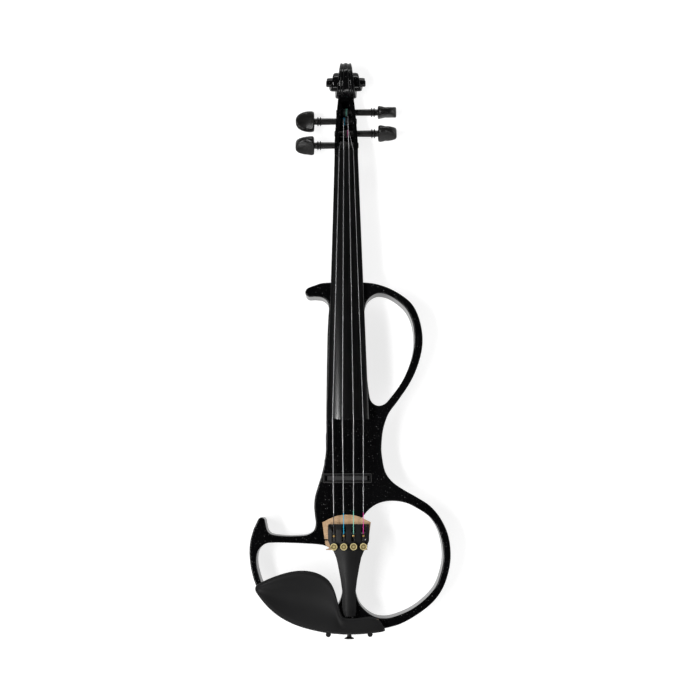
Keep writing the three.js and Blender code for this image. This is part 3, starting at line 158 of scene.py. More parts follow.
def modify(piece, kind, **settings):
    """Adds a modifier and applies it."""
    alone(piece)
    modifier = piece.modifiers.new(kind.lower(), kind)
    for key, value in settings.items():
        setattr(modifier, key, value)
    bpy.ops.object.modifier_apply(modifier=modifier.name)


def edited(piece, tool, test=None, kind="faces", **settings):
    """One tool is used on the whole piece, or on its faces or edges that pass a test."""
    alone(piece)
    bpy.ops.object.mode_set(mode="EDIT")
    bpy.ops.mesh.select_all(action="DESELECT" if test else "SELECT")
    if test:
        shape = bmesh.from_edit_mesh(piece.data)
        for part in getattr(shape, kind):
            if test(part):
                part.select = True
        bmesh.update_edit_mesh(piece.data)
    tool(**settings)
    bpy.ops.object.mode_set(mode="OBJECT")


def extruded(step):
    bpy.ops.mesh.extrude_region_move(TRANSFORM_OT_translate={"value": step})


def outward(piece):
    """Doubles merged and faces turned outwards."""
    edited(piece, bpy.ops.mesh.remove_doubles, threshold=DOUBLES)
    edited(piece, bpy.ops.mesh.normals_make_consistent, inside=False)


def eased(piece, width, angle=30, segments=3):
    """Sharp edges are rounded over."""
    modify(piece, "BEVEL", width=width, segments=segments, limit_method="ANGLE",
           angle_limit=math.radians(angle), use_clamp_overlap=True)


def planed(piece, point, normal):
    """All above a plane is cut away and the face closed."""
    edited(piece, bpy.ops.mesh.bisect, plane_co=point, plane_no=normal, use_fill=True, clear_outer=True)


def from_lines(name, lines, closed, **settings):
    """A piece that grows out of drawn lines, filled and thickened or as a round section."""
    curve = bpy.data.curves.new(name, "CURVE")
    for key, value in settings.items():
        setattr(curve, key, value)
    for line in lines:
        spline = curve.splines.new("POLY")
        spline.points.add(len(line) - 1)
        spline.use_cyclic_u = closed
        for point, place in zip(spline.points, line):
            point.co = (*place.to_3d(), 1)
    placed(name, curve)
    bpy.ops.object.convert(target="MESH")
    piece = bpy.context.object
    outward(piece)
    return piece


def sawn(name, outlines, low, high, edge):
    """A flat piece cut to its outline and holes, its edges rounded over. The outline runs one way
    round and the holes the other."""
    lines = []
    for k, line in enumerate(outlines):
        area = sum(a.x * b.y - b.x * a.y for a, b in zip(line, line[1:] + line[:1]))
        lines.append(line[::-1] if (area < 0) == (k == 0) else line)
    piece = from_lines(name, lines, True, dimensions="2D", fill_mode="BOTH", bevel_depth=edge,
                       extrude=(high - low) / 2 - edge, bevel_resolution=3, offset=-edge)
    moved(piece, (0, 0, (low + high) / 2))
    return piece


def rounded_plate(name, middle, size, corner, low, high, edge=0.0001):
    """A flat plate with round corners."""
    line = []
    for k, (side_x, side_y) in enumerate(((1, 1), (-1, 1), (-1, -1), (1, -1))):
        for step in range(9):
            turn = (k + step / 8) * math.pi / 2
            x = middle[0] + side_x * (size[0] / 2 - corner) + corner * math.cos(turn)
            y = middle[1] + side_y * (size[1] / 2 - corner) + corner * math.sin(turn)
            line.append(Vector((x, y)))
    return sawn(name, [line], low, high, edge)


def wire(name, points, radius, sides):
    """Round wire bent along a line of points, both ends closed."""
    return from_lines(name, [points], False, dimensions="3D", bevel_depth=radius,
                      bevel_resolution=sides // 2 - 2, use_fill_caps=True)


def formed(name, shape):
    """A piece made in mesh code."""
    piece = placed(name, bpy.data.meshes.new(name))
    shape.to_mesh(piece.data)
    shape.free()
    return piece


def box(name, x, y, z):
    """A plain block between two places on each axis, to be cut or to cut with."""
    piece = added("cube", name, size=1)
    sizes = [b - a for a, b in (x, y, z)]
    middle = [(a + b) / 2 for a, b in (x, y, z)]
    piece.data.transform(Matrix.Translation(middle) @ Matrix.Diagonal((*sizes, 1)))
    return piece


def drawn(name, stations, sides, way=ALONG_Z, place=(0, 0, 0)):
    """A piece drawn out of a ring, from station to station: how far along, its half width and
    height there, and how far its middle is off the line. Four sides make a square ring."""
    stations = [(*station, 0)[:4] for station in stations]
    along, wide, thick, off = stations[0]
    piece = added("circle", name, vertices=sides, radius=math.sqrt(2) if sides == 4 else 1)
    if sides == 4:
        piece.data.transform(Matrix.Rotation(math.pi / 4, 4, "Z"))
    piece.data.transform(Matrix.Translation((0, off, along)) @ Matrix.Diagonal((wide, thick, 1, 1)))

    def draw_out():
        for before, after in zip(stations, stations[1:]):
            extruded((0, after[3] - before[3], after[0] - before[0]))
            scale = (after[1] / before[1], after[2] / before[2], 1)
            bpy.ops.transform.resize(value=scale, center_override=(0, after[3], after[0]))

    edited(piece, draw_out)
    edited(piece, bpy.ops.mesh.fill_holes, sides=0)
    edited(piece, bpy.ops.mesh.normals_make_consistent, inside=False)
    moved(piece, place, way)
    return piece


def turned(name, profile, sides=48, way=ALONG_Z, place=(0, 0, 0)):
    """A piece turned on a lathe, from (place along, radius) pairs."""
    return drawn(name, [(along, radius, radius) for along, radius in profile], sides, way, place)


def cut(piece, *cutters, operation="DIFFERENCE"):
    for cutter in cutters:
        modify(piece, "BOOLEAN", operation=operation, solver="EXACT", object=cutter)
        bpy.data.objects.remove(cutter)


def joined(piece, *others):
    cut(piece, *others, operation="UNION")


def levelled(mesh):
    """Level faces are shaded dead flat, and the roundings beside them run into that."""
    level = {}
    for face in mesh.polygons:
        if abs(face.normal.z) > 0.9999:
            level.update({corner: face.normal.copy() for corner in face.vertices})
    normals = [corner.vector.copy() for corner in mesh.corner_normals]
    for loop in mesh.loops:
        straight = level.get(loop.vertex_index)
        if straight and normals[loop.index].dot(straight) > 0.7:
            normals[loop.index] = straight
    mesh.normals_split_custom_set(normals)


def seat(piece, material, node=None, angle=35, flat=False):
    """The piece is set in its place in the frame, in metres. It stands for a node and takes its body, or it
    rides on the violin."""
    piece.data.transform(TO_FRAME)
    piece.data.materials.clear()
    piece.data.materials.append(material)
    alone(piece)
    bpy.ops.object.shade_smooth_by_angle(angle=math.radians(angle))
    modify(piece, "WEIGHTED_NORMAL", mode="FACE_AREA", weight=50, keep_sharp=True)
    if flat:
        levelled(piece.data)
    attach(piece, frame["nodes"][node]["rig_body"] if node else "violin")
    if node:
        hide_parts(node)


def refined(node, material, edge=0.25, angle=25, segments=2, smooth=35, shape=None):
    """A copy of a CAD node with its flat faces whole and its sharp edges eased."""
    piece = placed(node + "_dressed", frame["nodes"][node].data.copy())
    piece.data.transform(TO_FRAME.inverted())
    edited(piece, bpy.ops.mesh.remove_doubles, threshold=0.01)
    edited(piece, bpy.ops.mesh.dissolve_limited, angle_limit=math.radians(1))
    if shape:
        shape(piece)
    eased(piece, edge, angle, segments)
    seat(piece, material, node, angle=smooth)


# Finishes
# Short ways to build node trees, and the uneven tone and specks that the finishes share.


def grey(value):
    return (value, value, value)


def node_tree(owner):
    owner.use_nodes = True
    return owner.node_tree


def fill(tree, value, socket):
    """A socket takes another node's output or a plain value, a colour as three numbers."""
    if isinstance(value, bpy.types.NodeSocket):
        tree.links.new(value, socket)
    elif socket.type == "RGBA":
        socket.default_value = (*value, 1)
    else:
        socket.default_value = value


def fill_named(tree, node, **values):
    for label, value in values.items():
        fill(tree, value, node.inputs[label.replace("_", " ")])


def add_node(tree, kind, *values, **settings):
    """A new node whose first sockets are filled in turn."""
    node = tree.nodes.new("ShaderNode" + kind)
    for key, value in settings.items():
        setattr(node, key, value)
    for value, socket in zip(values, node.inputs):
        fill(tree, value, socket)
    return node


def add_math(tree, operation, *values):
    return add_node(tree, "Math", *values, operation=operation).outputs[0]


def mix_colours(tree, factor, a, b):
    node = add_node(tree, "Mix", data_type="RGBA")
    fill_named(tree, node, Factor=factor, A=a, B=b)
    return node.outputs["Result"]


def spread(tree, value, low, high, start=0.3, stop=0.7):
    """Maps a value that lies between start and stop onto low to high."""
    return add_node(tree, "MapRange", value, start, stop, low, high).outputs["Result"]


def new_group(name, inputs, outputs):
    group = bpy.data.node_groups.new(name, "ShaderNodeTree")
    for label in inputs:
        kind = "NodeSocketVector" if label == "Vector" else "NodeSocketFloat"
        group.interface.new_socket(label, in_out="INPUT", socket_type=kind)
    for label in outputs:
        group.interface.new_socket(label, in_out="OUTPUT", socket_type="NodeSocketFloat")
    start = group.nodes.new("NodeGroupInput").outputs
    end = group.nodes.new("NodeGroupOutput").inputs
    return group, start, end


# Specks that lie scattered in a finish: flakes in lacquer, rays in maple, crumbs in cork
flecks, start, end = new_group("flecks", ("Vector", "Scale", "Size", "Share"), ("Mask", "Random"))
cells = add_node(flecks, "TexVoronoi")
fill_named(flecks, cells, Vector=start["Vector"], Scale=start["Scale"])
pick = add_node(flecks, "SeparateColor", cells.outputs["Color"]).outputs
near = add_math(flecks, "LESS_THAN", cells.outputs["Distance"], start["Size"])
chosen = add_math(flecks, "LESS_THAN", pick["Red"], start["Share"])
fill(flecks, add_math(flecks, "MULTIPLY", near, chosen), end["Mask"])
fill(flecks, pick["Green"], end["Random"])

# Slow and fine unevenness, for tone, roughness and a surface that isn't dead flat
mottle, start, end = new_group("mottle", ("Vector", "Scale", "Fine Scale"), ("Slow", "Fine"))
for label, source in (("Slow", "Scale"), ("Fine", "Fine Scale")):
    noise = add_node(mottle, "TexNoise")
    fill_named(mottle, noise, Vector=start["Vector"], Scale=start[source], Detail=4)
    fill(mottle, noise.outputs["Fac"], end[label])


def place_group(tree, group, vector, **values):
    node = add_node(tree, "Group", node_tree=group)
    fill_named(tree, node, Vector=vector, **values)
    return node.outputs


def finish(name, dark, light, rough, scale=60, fine=900, stretch=(1, 1, 1), bump=0.02, depth=0.0002,
           **sockets):
    """A finish whose tone and roughness wander between two values, over an uneven surface."""
    material = bpy.data.materials.new(name)
    tree = node_tree(material)
    mapping = add_node(tree, "Mapping", add_node(tree, "TexCoord").outputs["Object"])
    fill(tree, stretch, mapping.inputs["Scale"])
    uneven = place_group(tree, mottle, mapping.outputs["Vector"], Scale=scale, Fine_Scale=fine)
    tone = mix_colours(tree, spread(tree, uneven["Slow"], 0, 1), dark, light)
    relief = add_node(tree, "Bump")
    fill_named(tree, relief, Strength=bump, Distance=depth, Height=uneven["Fine"])
    fill_named(tree, tree.nodes["Principled BSDF"], Base_Color=tone, Normal=relief.outputs["Normal"],
               Roughness=spread(tree, uneven["Fine"], *rough), **sockets)
    return material


def metal(name, dark, light, rough, scale=200, bump=0.05, metallic=1.0, **settings):
    return finish(name, dark, light, rough, scale, 2500, bump=bump, Metallic=metallic, **settings)


def tinted(material, mask, colour):
    """A colour lies over the finish where the mask is."""
    tree = material.node_tree
    base = tree.nodes["Principled BSDF"].inputs["Base Color"]
    fill(tree, mix_colours(tree, mask, base.links[0].from_socket, colour), base)


def surface(tree):
    return tree.nodes["Texture Coordinate"].outputs["Object"]


def spot(tree):
    """Where a point of the surface is, axis by axis."""
    return add_node(tree, "SeparateXYZ", surface(tree)).outputs


def away_from(tree, value, middle):
    """How far a value is from its middle, to either side."""
    return add_math(tree, "ABSOLUTE", add_math(tree, "SUBTRACT", value, middle))


# Floor, sky and lamps
# A white sheet that keeps the shadow, pale walls with a dark ceiling above them, and four soft
# boxes: a narrow bright one to the bass side, and wide weaker ones to the treble side and both ends.
FLOOR_SIZE = 12
FLOOR_GREY = 0.4
FLOOR_ROUGHNESS = 0.9
FLOOR_LIFT = 0.79
FLOOR_IN_GLOSS = 0.5
SKY_EDGE = 0.1
SKY_TOP = 0.46
SKY_PALE = 0.95
SKY_DARK = 0.02

floor = added("plane", "floor", size=FLOOR_SIZE, location=(0, 0, 0))
sheet = bpy.data.materials.new("white_sheet")
tree = node_tree(sheet)
paper = tree.nodes["Principled BSDF"]
path = add_node(tree, "LightPath").outputs
mirrored = add_math(tree, "MULTIPLY", path["Is Glossy Ray"], FLOOR_IN_GLOSS)
seen = add_math(tree, "MAXIMUM", path["Is Camera Ray"], mirrored)
seen = add_math(tree, "MAXIMUM", seen, path["Is Transmission Ray"])
fill_named(tree, paper, Base_Color=grey(FLOOR_GREY), Roughness=FLOOR_ROUGHNESS, Specular_IOR_Level=0,
           Emission_Strength=1, Emission_Color=mix_colours(tree, seen, grey(0), grey(FLOOR_LIFT)))
clear = add_node(tree, "BsdfTransparent").outputs["BSDF"]
behind = add_node(tree, "NewGeometry").outputs["Backfacing"]
either = add_node(tree, "MixShader", behind, paper.outputs["BSDF"], clear)
fill(tree, either.outputs["Shader"], tree.nodes["Material Output"].inputs["Surface"])
floor.data.materials.append(sheet)

sky = bpy.data.worlds.new("studio")
bpy.context.scene.world = sky
tree = node_tree(sky)
direction = add_node(tree, "TexCoord").outputs["Generated"]
height = add_node(tree, "SeparateXYZ", direction).outputs["Z"]
fill(tree, spread(tree, height, SKY_PALE, SKY_DARK, SKY_EDGE, SKY_TOP),
     tree.nodes["Background"].inputs["Color"])

# name, place, size along its level edge and along its sloping edge, power
soft_boxes = [
    ("bass_softbox", (-0.66, -0.2, 1.4), (0.9, 0.2), 18),
    ("treble_softbox", (1.5, 0.0, 0.62), (1.4, 0.5), 8),
    ("scroll_softbox", (0.1, 1.75, 0.75), (1.2, 0.4), 11),
    ("tail_softbox", (-0.1, -1.75, 0.8), (1.2, 0.4), 11),
]
for name, place, (level, sloping), power in soft_boxes:
    lamp_data = bpy.data.lights.new(name, "AREA")
    lamp_data.shape = "RECTANGLE"
    lamp_data.size = level
    lamp_data.size_y = sloping
    lamp_data.energy = power
    lamp = bpy.data.objects.new(name, lamp_data)
    lamp.location = place
    lamp.rotation_euler = Vector(place).to_track_quat("Z", "Y").to_euler()
    bpy.context.scene.collection.objects.link(lamp)

# Body
# One slab of wood sawn to an open frame, its edges rounded over and all of it sprayed with black
# gloss lacquer that has fine silver flecks in it. The back is routed for the electronics.
BODY_HALF = 101
BODY_LENGTH = 347.5
BODY_TAIL = -149.5
BODY_BACK = 9
BODY_FRONT = 41
EDGE_ROUND = 1.3
hoop_shares = [
    (0.135, 1), (0.272, 0.996), (0.413, 0.983), (0.553, 0.96), (0.652, 0.934), (0.716, 0.897),
    (0.751, 0.848), (0.745, 0.801), (0.695, 0.749), (0.619, 0.703), (0.508, 0.656), (0.407, 0.616),
    (0.353, 0.572), (0.334, 0.529), (0.336, 0.495), (0.367, 0.449), (0.435, 0.42), (0.544, 0.397),
    (0.681, 0.374), (0.81, 0.349), (0.912, 0.313), (0.983, 0.267), (1.007, 0.216), (0.99, 0.168),
    (0.928, 0.116), (0.828, 0.076), (0.679, 0.042), (0.501, 0.014), (0.32, 0),
]
tail_shares = [
    (-0.3, 0), (-0.48, 0.014), (-0.657, 0.041), (-0.804, 0.078), (-0.902, 0.117), (-0.957, 0.163),
    (-0.98, 0.211), (-0.973, 0.251), (-0.94, 0.286),
]
tip_share = (-0.863, 0.3085)
TIP_RADIUS = 3.7
TIP_START = math.radians(20)
TIP_STEPS = 12
arm_shares = [
    (-0.81, 0.286), (-0.79, 0.276), (-0.749, 0.27), (-0.637, 0.266), (-0.5, 0.266), (-0.407, 0.269),
    (-0.346, 0.28), (-0.325, 0.3), (-0.333, 0.324), (-0.34, 0.352), (-0.329, 0.38), (-0.298, 0.41),
    (-0.264, 0.441), (-0.235, 0.478), (-0.219, 0.525), (-0.215, 0.632), (-0.208, 0.746),
    (-0.2, 0.845),
]
hook_shares = [
    (-0.19, 0.9), (-0.184, 0.926), (-0.202, 0.944), (-0.25, 0.955), (-0.32, 0.958), (-0.385, 0.958),
    (-0.418, 0.966), (-0.416, 0.977), (-0.386, 0.985), (-0.32, 0.992), (-0.25, 0.998), (-0.139, 1),
]
window_shares = [
    [(0.332, 0.967), (0.422, 0.96), (0.521, 0.941), (0.601, 0.916), (0.655, 0.878), (0.671, 0.833),
     (0.653, 0.787), (0.598, 0.74), (0.523, 0.699), (0.433, 0.664), (0.368, 0.644), (0.298, 0.639),
     (0.238, 0.65), (0.213, 0.674), (0.188, 0.743), (0.173, 0.817), (0.166, 0.882), (0.173, 0.919),
     (0.203, 0.946), (0.263, 0.962)],
    [(0.148, 0.321), (0.221, 0.344), (0.315, 0.359), (0.438, 0.364), (0.571, 0.358), (0.697, 0.34),
     (0.807, 0.317), (0.882, 0.284), (0.924, 0.243), (0.935, 0.2), (0.91, 0.16), (0.856, 0.12),
     (0.767, 0.089), (0.64, 0.06), (0.504, 0.041), (0.371, 0.031), (0.256, 0.035), (0.159, 0.053),
     (0.094, 0.078), (0.061, 0.116), (0.059, 0.162), (0.059, 0.21), (0.078, 0.261), (0.103, 0.295)],
    [(-0.906, 0.214), (-0.879, 0.231), (-0.819, 0.244), (-0.738, 0.247), (-0.578, 0.246),
     (-0.431, 0.244), (-0.295, 0.241), (-0.216, 0.235), (-0.137, 0.219), (-0.083, 0.196),
     (-0.061, 0.162), (-0.061, 0.116), (-0.092, 0.078), (-0.157, 0.053), (-0.25, 0.035),
     (-0.363, 0.031), (-0.5, 0.042), (-0.637, 0.062), (-0.757, 0.09), (-0.843, 0.121),
     (-0.892, 0.16), (-0.911, 0.189)],
]


def body_point(share):
    return Vector((share[0] * BODY_HALF, BODY_TAIL + share[1] * BODY_LENGTH))


def body_line(shares, closed=False):
    return smooth_line([body_point(share) for share in shares], closed)


lacquer = finish("black_lacquer", (0.0012, 0.0012, 0.0014), (0.003, 0.003, 0.0033), (0.07, 0.12), scale=18,
                 bump=0.006, Coat_Weight=0.15, Coat_Roughness=0.03, Coat_IOR=1.4, Specular_IOR_Level=0.15)
tree = lacquer.node_tree
place = tree.nodes["Mapping"].outputs["Vector"]
sparkle = place_group(tree, flecks, place, Scale=480, Size=0.15, Share=0.5)
dust = place_group(tree, flecks, place, Scale=900, Size=0.25, Share=0.3)
tinted(lacquer, sparkle["Mask"], mix_colours(tree, sparkle["Random"], grey(0.01), grey(0.16)))
tinted(lacquer, dust["Mask"], grey(0.016))

outline = body_line(hoop_shares) + body_line(tail_shares)
for k in range(TIP_STEPS + 1):
    turn = math.pi - TIP_START + (2 * TIP_START - math.pi) * k / TIP_STEPS
    outline.append(body_point(tip_share) + TIP_RADIUS * Vector((math.cos(turn), math.sin(turn))))
outline += body_line(arm_shares) + body_line(hook_shares)
windows = [body_line(shares, closed=True) for shares in window_shares]
body = sawn("frame_body", [outline, *windows], BODY_BACK, BODY_FRONT, EDGE_ROUND)

COVER_MIDDLE = (6, 19)
COVER_SIZE = (50.6, 68.6)
COVER_CORNER = 4.3
COVER_HIGH = 11.9
BAY_SIZE = (44, 62)
BAY_CEILING = 30
BATTERY_X = -2
BATTERY_Y = (63.95, 118.05)
BATTERY_WIDTH = 27.7
BATTERY_CEILING = 29.8
DOOR_LIP = 2.2
DOOR_WIDTH = 32.1
DOOR_HIGH = 11.7
JACK_HEIGHT = 24
# line along the side, seat across, and radii of flange and barrel, of the two sockets
jack_bores = [(38, -20.2, 7.9, 5.7), (14, -21.8, 5.3, 3.9)]
BUTTON_HEIGHT = 25
BUTTON_BORE = 3.3
BUTTON_DEPTH = 13
SADDLE_ROOM = (30.6, 5.8, 5)
PICKUP_ROOM = (49.6, 10)
PICKUP_X = -1
PICKUP_LOW = 39


def jack_bore(line, seat_place, flange, barrel):
    inside = COVER_MIDDLE[0] - BAY_SIZE[0] / 2 + OVERRUN
    profile = [(-BODY_HALF / 2, flange), (seat_place, flange), (seat_place, barrel), (inside, barrel)]
    return turned("bore", profile, way=ALONG_X, place=(0, line, JACK_HEIGHT))


below = BODY_BACK - OVERRUN
above = BODY_FRONT + OVERRUN
cut(body,
    rounded_plate("room", COVER_MIDDLE, COVER_SIZE, COVER_CORNER, below, COVER_HIGH),
    box("room", around(COVER_MIDDLE[0], BAY_SIZE[0]), around(COVER_MIDDLE[1], BAY_SIZE[1]),
        (below, BAY_CEILING)),
    box("room", around(BATTERY_X, BATTERY_WIDTH), BATTERY_Y, (below, BATTERY_CEILING)),
    box("room", around(BATTERY_X, DOOR_WIDTH), (BATTERY_Y[0] - DOOR_LIP, BATTERY_Y[1] + DOOR_LIP),
        (below, DOOR_HIGH)),
    *(jack_bore(*row) for row in jack_bores),
    turned("bore", [(BODY_TAIL - OVERRUN, BUTTON_BORE), (BODY_TAIL + BUTTON_DEPTH + GAP, BUTTON_BORE)],
           32, ALONG_Y, (0, 0, BUTTON_HEIGHT)),
    box("room", around(0, SADDLE_ROOM[0]), (BODY_TAIL - OVERRUN, BODY_TAIL + SADDLE_ROOM[1]),
        (BODY_FRONT - SADDLE_ROOM[2], above)),
    rounded_plate("room", (PICKUP_X, 0), PICKUP_ROOM, PICKUP_ROOM[1] / 8, PICKUP_LOW, above))
seat(body, lacquer, "body", flat=True)

# Neck, pegbox and scroll
# Carved from one piece of maple, glued to the body at the heel and lacquered like it. The pegbox is
# hollowed from the front and bored for the pegs, and twin flutes run up its back and over the scroll.
BOARD_LENGTH = 270
STRING_LENGTH = 328
BOARD_WIDTHS = (24, 42)
BOARD_EDGE = 5
BOARD_RADIUS = 42
BOARD_SCOOP = 0.7
BOARD_RISE = 27
NECK_ANGLE = math.radians(4.5)
NECK_DEPTHS = (13.5, 15.5)
HEEL_REACH = 26
HEEL_LIFT = 2.5
NUT_BACK = 333.5
WEDGE_LENGTH = 46
WEDGE_SLANT = 9
WEDGE_INSET = 1.2
BODY_TOP = BODY_TAIL + BODY_LENGTH
BOARD_END = STRING_LENGTH - BOARD_LENGTH
NECK_SIDES = 48


def crest(y):
    return BODY_FRONT + BOARD_RISE - y * math.tan(NECK_ANGLE)


def board_breadth(y):
    return mixed(*BOARD_WIDTHS, (STRING_LENGTH - y) / BOARD_LENGTH)


def camber(x):
    return BOARD_RADIUS - math.sqrt(BOARD_RADIUS ** 2 - x ** 2)


def glue_at(y):
    return crest(y) - BOARD_EDGE - camber(board_breadth(y) / 2)


def glue_line(y):
    return mixed(glue_at(STRING_LENGTH), glue_at(BOARD_END), (STRING_LENGTH - y) / BOARD_LENGTH)


def neck_station(y, depth):
    width = board_breadth(min(y, STRING_LENGTH)) / 2
    return (y, width, depth, glue_line(y) - GAP)


heel_face = BODY_TOP + GAP
heel_start = heel_face + HEEL_REACH
heel_depth = mixed(*NECK_DEPTHS, (STRING_LENGTH - heel_start) / (STRING_LENGTH - BODY_TOP))
stations = []
for k in range(13):
    t = 1 - k / 12
    y = mixed(heel_start, heel_face, t)
    full = glue_line(y) - GAP - BODY_BACK - HEEL_LIFT
    stations.append(neck_station(y, mixed(heel_depth, full, 1 - math.sqrt(1 - t ** 2))))
stations.append(neck_station(NUT_BACK + GAP, NECK_DEPTHS[0]))
neck = drawn("neck_and_volute", stations, NECK_SIDES, ALONG_Y)
glue_slope = (glue_line(BOARD_END) - glue_line(STRING_LENGTH)) / BOARD_LENGTH
glue_normal = Vector((0, glue_slope, 1)).normalized()
glue_point = (0, STRING_LENGTH, glue_line(STRING_LENGTH) - GAP)
planed(neck, glue_point, glue_normal)

wedge_low = BODY_FRONT + GAP
wedge_tail = BODY_TOP - WEDGE_LENGTH
wedge_heights = [glue_line(y) + OVERRUN for y in (wedge_tail, BODY_TOP)]
wedge = drawn("wedge", [
    (y, board_breadth(y) / 2 - WEDGE_INSET, (high - wedge_low) / 2, (high + wedge_low) / 2)
    for y, high in ((wedge_tail, wedge_heights[0]), (BODY_TOP + 2 * OVERRUN, wedge_heights[1]))
], 4, ALONG_Y)
planed(wedge, glue_point, glue_normal)
foot_slope = math.atan2(WEDGE_SLANT, glue_line(wedge_tail) - wedge_low)
planed(wedge, (0, wedge_tail, wedge_low), (0, -math.cos(foot_slope), math.sin(foot_slope)))

PEGBOX_START = NUT_BACK + GAP
PEGBOX_LENGTH = 75
PEGBOX_HALF = 12.2
PEGBOX_DEPTH = crest(STRING_LENGTH) - 6.2
PEGBOX_WALL = 4.2
PEGBOX_FLOOR = 3.2
pegbox_shares = [
    (0, 1, 0.96, 0.6), (0.16, 0.98, 0.93, 0.43), (0.33, 0.92, 0.82, 0.29), (0.52, 0.84, 0.7, 0.165),
    (0.72, 0.72, 0.61, 0.075), (0.84, 0.655, 0.54, 0.035), (0.92, 0.64, 0.46, 0.016),
    (1, 0.64, 0.4, 0.008),
]


def pegbox_at(y):
    width, top, bottom = between(pegbox_shares, (y - PEGBOX_START) / PEGBOX_LENGTH)
    return width * PEGBOX_HALF, top * PEGBOX_DEPTH, bottom * PEGBOX_DEPTH


def pegbox_stations(places, wall=0, floor=0, rise=0):
    stations = []
    for y in places:
        width, top, bottom = pegbox_at(y)
        high, low = top + rise, bottom + floor
        stations.append((y, width - wall, (high - low) / 2, (high + low) / 2))
    return stations


pegbox_ends = [PEGBOX_START + share[0] * PEGBOX_LENGTH for share in pegbox_shares]
pegbox = drawn("pegbox", pegbox_stations(pegbox_ends), 4, ALONG_Y)
hollow_ends = [PEGBOX_START + 4.2, *pegbox_ends[2:5], PEGBOX_START + 57.5]
hollow = drawn("hollow", pegbox_stations(hollow_ends, PEGBOX_WALL, PEGBOX_FLOOR, 2 * OVERRUN), 4, ALONG_Y)
eased(hollow, 1.2)
cut(pegbox, hollow)
eased(pegbox, 1.1)

SCROLL_CENTRE = STRING_LENGTH + 80.6
SCROLL_REACH = 21.9
SCROLL_SHRINK = 0.524
SCROLL_SQUASH = 0.92
SCROLL_HALF = 20
SCROLL_TURNS = 2.5
SCROLL_STEPS = 36
SCROLL_INNER = 0.4
EYE_RADIUS = 3.4
scroll_shares = [
    (0, 0.4), (0.25, 0.28), (0.42, 0.36), (0.75, 0.56), (1.25, 0.63), (1.75, 0.82), (2.25, 1), (2.5, 1),
]
# across in shares of the half width, out in shares of the radius
volute_shares = [(1, SCROLL_INNER), (0.97, 0.66), (0.985, 0.9), (0.93, 0.965), (0.8, 1)]
volute_shares += [(-across, out) for across, out in reversed(volute_shares)]


def scroll_radius(turn):
    return SCROLL_REACH * SCROLL_SHRINK ** (turn - 1 / 4)


scroll_height = scroll_radius(0) * SCROLL_SQUASH
eye_point = Vector((0, SCROLL_CENTRE, scroll_height))


def scroll_half(turn):
    return between(scroll_shares, turn)[0] * SCROLL_HALF


# The volute is one section swept round the eye, smaller and wider with each step
section = bmesh.new()
section.faces.new([
    section.verts.new((across * scroll_half(0), SCROLL_CENTRE, scroll_height - out * scroll_radius(0)))
    for across, out in volute_shares
])
volute = formed("volute", section)
step_shrink = SCROLL_SHRINK ** (1 / SCROLL_STEPS)
step_turn = 2 * math.pi / SCROLL_STEPS


def sweep():
    for k in range(round(SCROLL_TURNS * SCROLL_STEPS)):
        widen = scroll_half((k + 1) / SCROLL_STEPS) / scroll_half(k / SCROLL_STEPS)
        extruded((0, 0, 0))
        bpy.ops.transform.rotate(value=-step_turn, orient_axis="X", center_override=eye_point)
        scale = (widen, step_shrink, step_shrink)
        bpy.ops.transform.resize(value=scale, center_override=eye_point)


edited(volute, sweep)
edited(volute, bpy.ops.mesh.normals_make_consistent, inside=False)
edited(volute, bpy.ops.transform.resize, value=(1, 1, SCROLL_SQUASH), center_override=eye_point)

eye_reach = SCROLL_HALF + 0.5
eye = turned("eye", [(-eye_reach, EYE_RADIUS - 0.8), (0.8 - eye_reach, EYE_RADIUS),
                     (eye_reach - 0.8, EYE_RADIUS), (eye_reach, EYE_RADIUS - 0.8)],
             way=ALONG_X, place=eye_point)

FLUTE_RADIUS = 2.2
FLUTE_DEPTH = 0.9
FLUTE_SPREAD = 0.48
FLUTE_TURNS = 0.8
FLUTE_STEPS = 16
FLUTE_FADE = 3


def scroll_point(x, turn, radius):
    angle = 2 * math.pi * turn
    return eye_point + Vector((x, radius * math.sin(angle), -radius * math.cos(angle) * SCROLL_SQUASH))


def flute(side):
    """One flute's cutter, up the pegbox's back and over the scroll, where it runs out."""
    lift = FLUTE_RADIUS - FLUTE_DEPTH
    points = []
    for y in pegbox_ends[3:-1]:
        width, top, bottom = pegbox_at(y)
        points.append(Vector((side * FLUTE_SPREAD * width, y, bottom - lift)))
    count = round(FLUTE_TURNS * FLUTE_STEPS)
    for k in range(count + 1):
        turn = k / FLUTE_STEPS
        fade = max(0, k - count + FLUTE_FADE) * 0.5
        across = side * FLUTE_SPREAD * scroll_half(turn)
        points.append(scroll_point(across, turn, scroll_radius(turn) + lift + fade))
    return wire("flute", smooth_line(points), FLUTE_RADIUS, 16)


PEG_TIP_RADIUS = 3
PEG_COLLAR_RADIUS = 3.5
PEG_REACH = 52.5
PEG_HEAD_LENGTH = 19.5
PEG_TIP_PROUD = 0.8
peg_shaft_end = PEG_REACH - PEG_HEAD_LENGTH
# name, side, place along the pegbox and rise above its floor in shares, turn of the head, turns of
# string on the shaft, and the string's place across in shares
peg_rows = [
    ("g", -1, 0.1973, 1.454, 0.9, 3.5, -0.4754), ("d", -1, 0.5627, 2.011, 0, 3.5, -0.2295),
    ("a", 1, 0.6973, 1.909, 1.57, 3, 0.1311), ("e", 1, 0.376, 1.723, 1.2, 4, 0.2131),
]


def peg_place(along, rise):
    y = STRING_LENGTH + along * PEGBOX_LENGTH
    return Vector((0, y, pegbox_at(y)[2] + PEGBOX_FLOOR + rise * PEG_COLLAR_RADIUS))


def peg_radius(y, out):
    tip = -(pegbox_at(y)[0] + PEG_TIP_PROUD)
    return mixed(PEG_TIP_RADIUS, PEG_COLLAR_RADIUS, (out - tip) / (peg_shaft_end - tip))


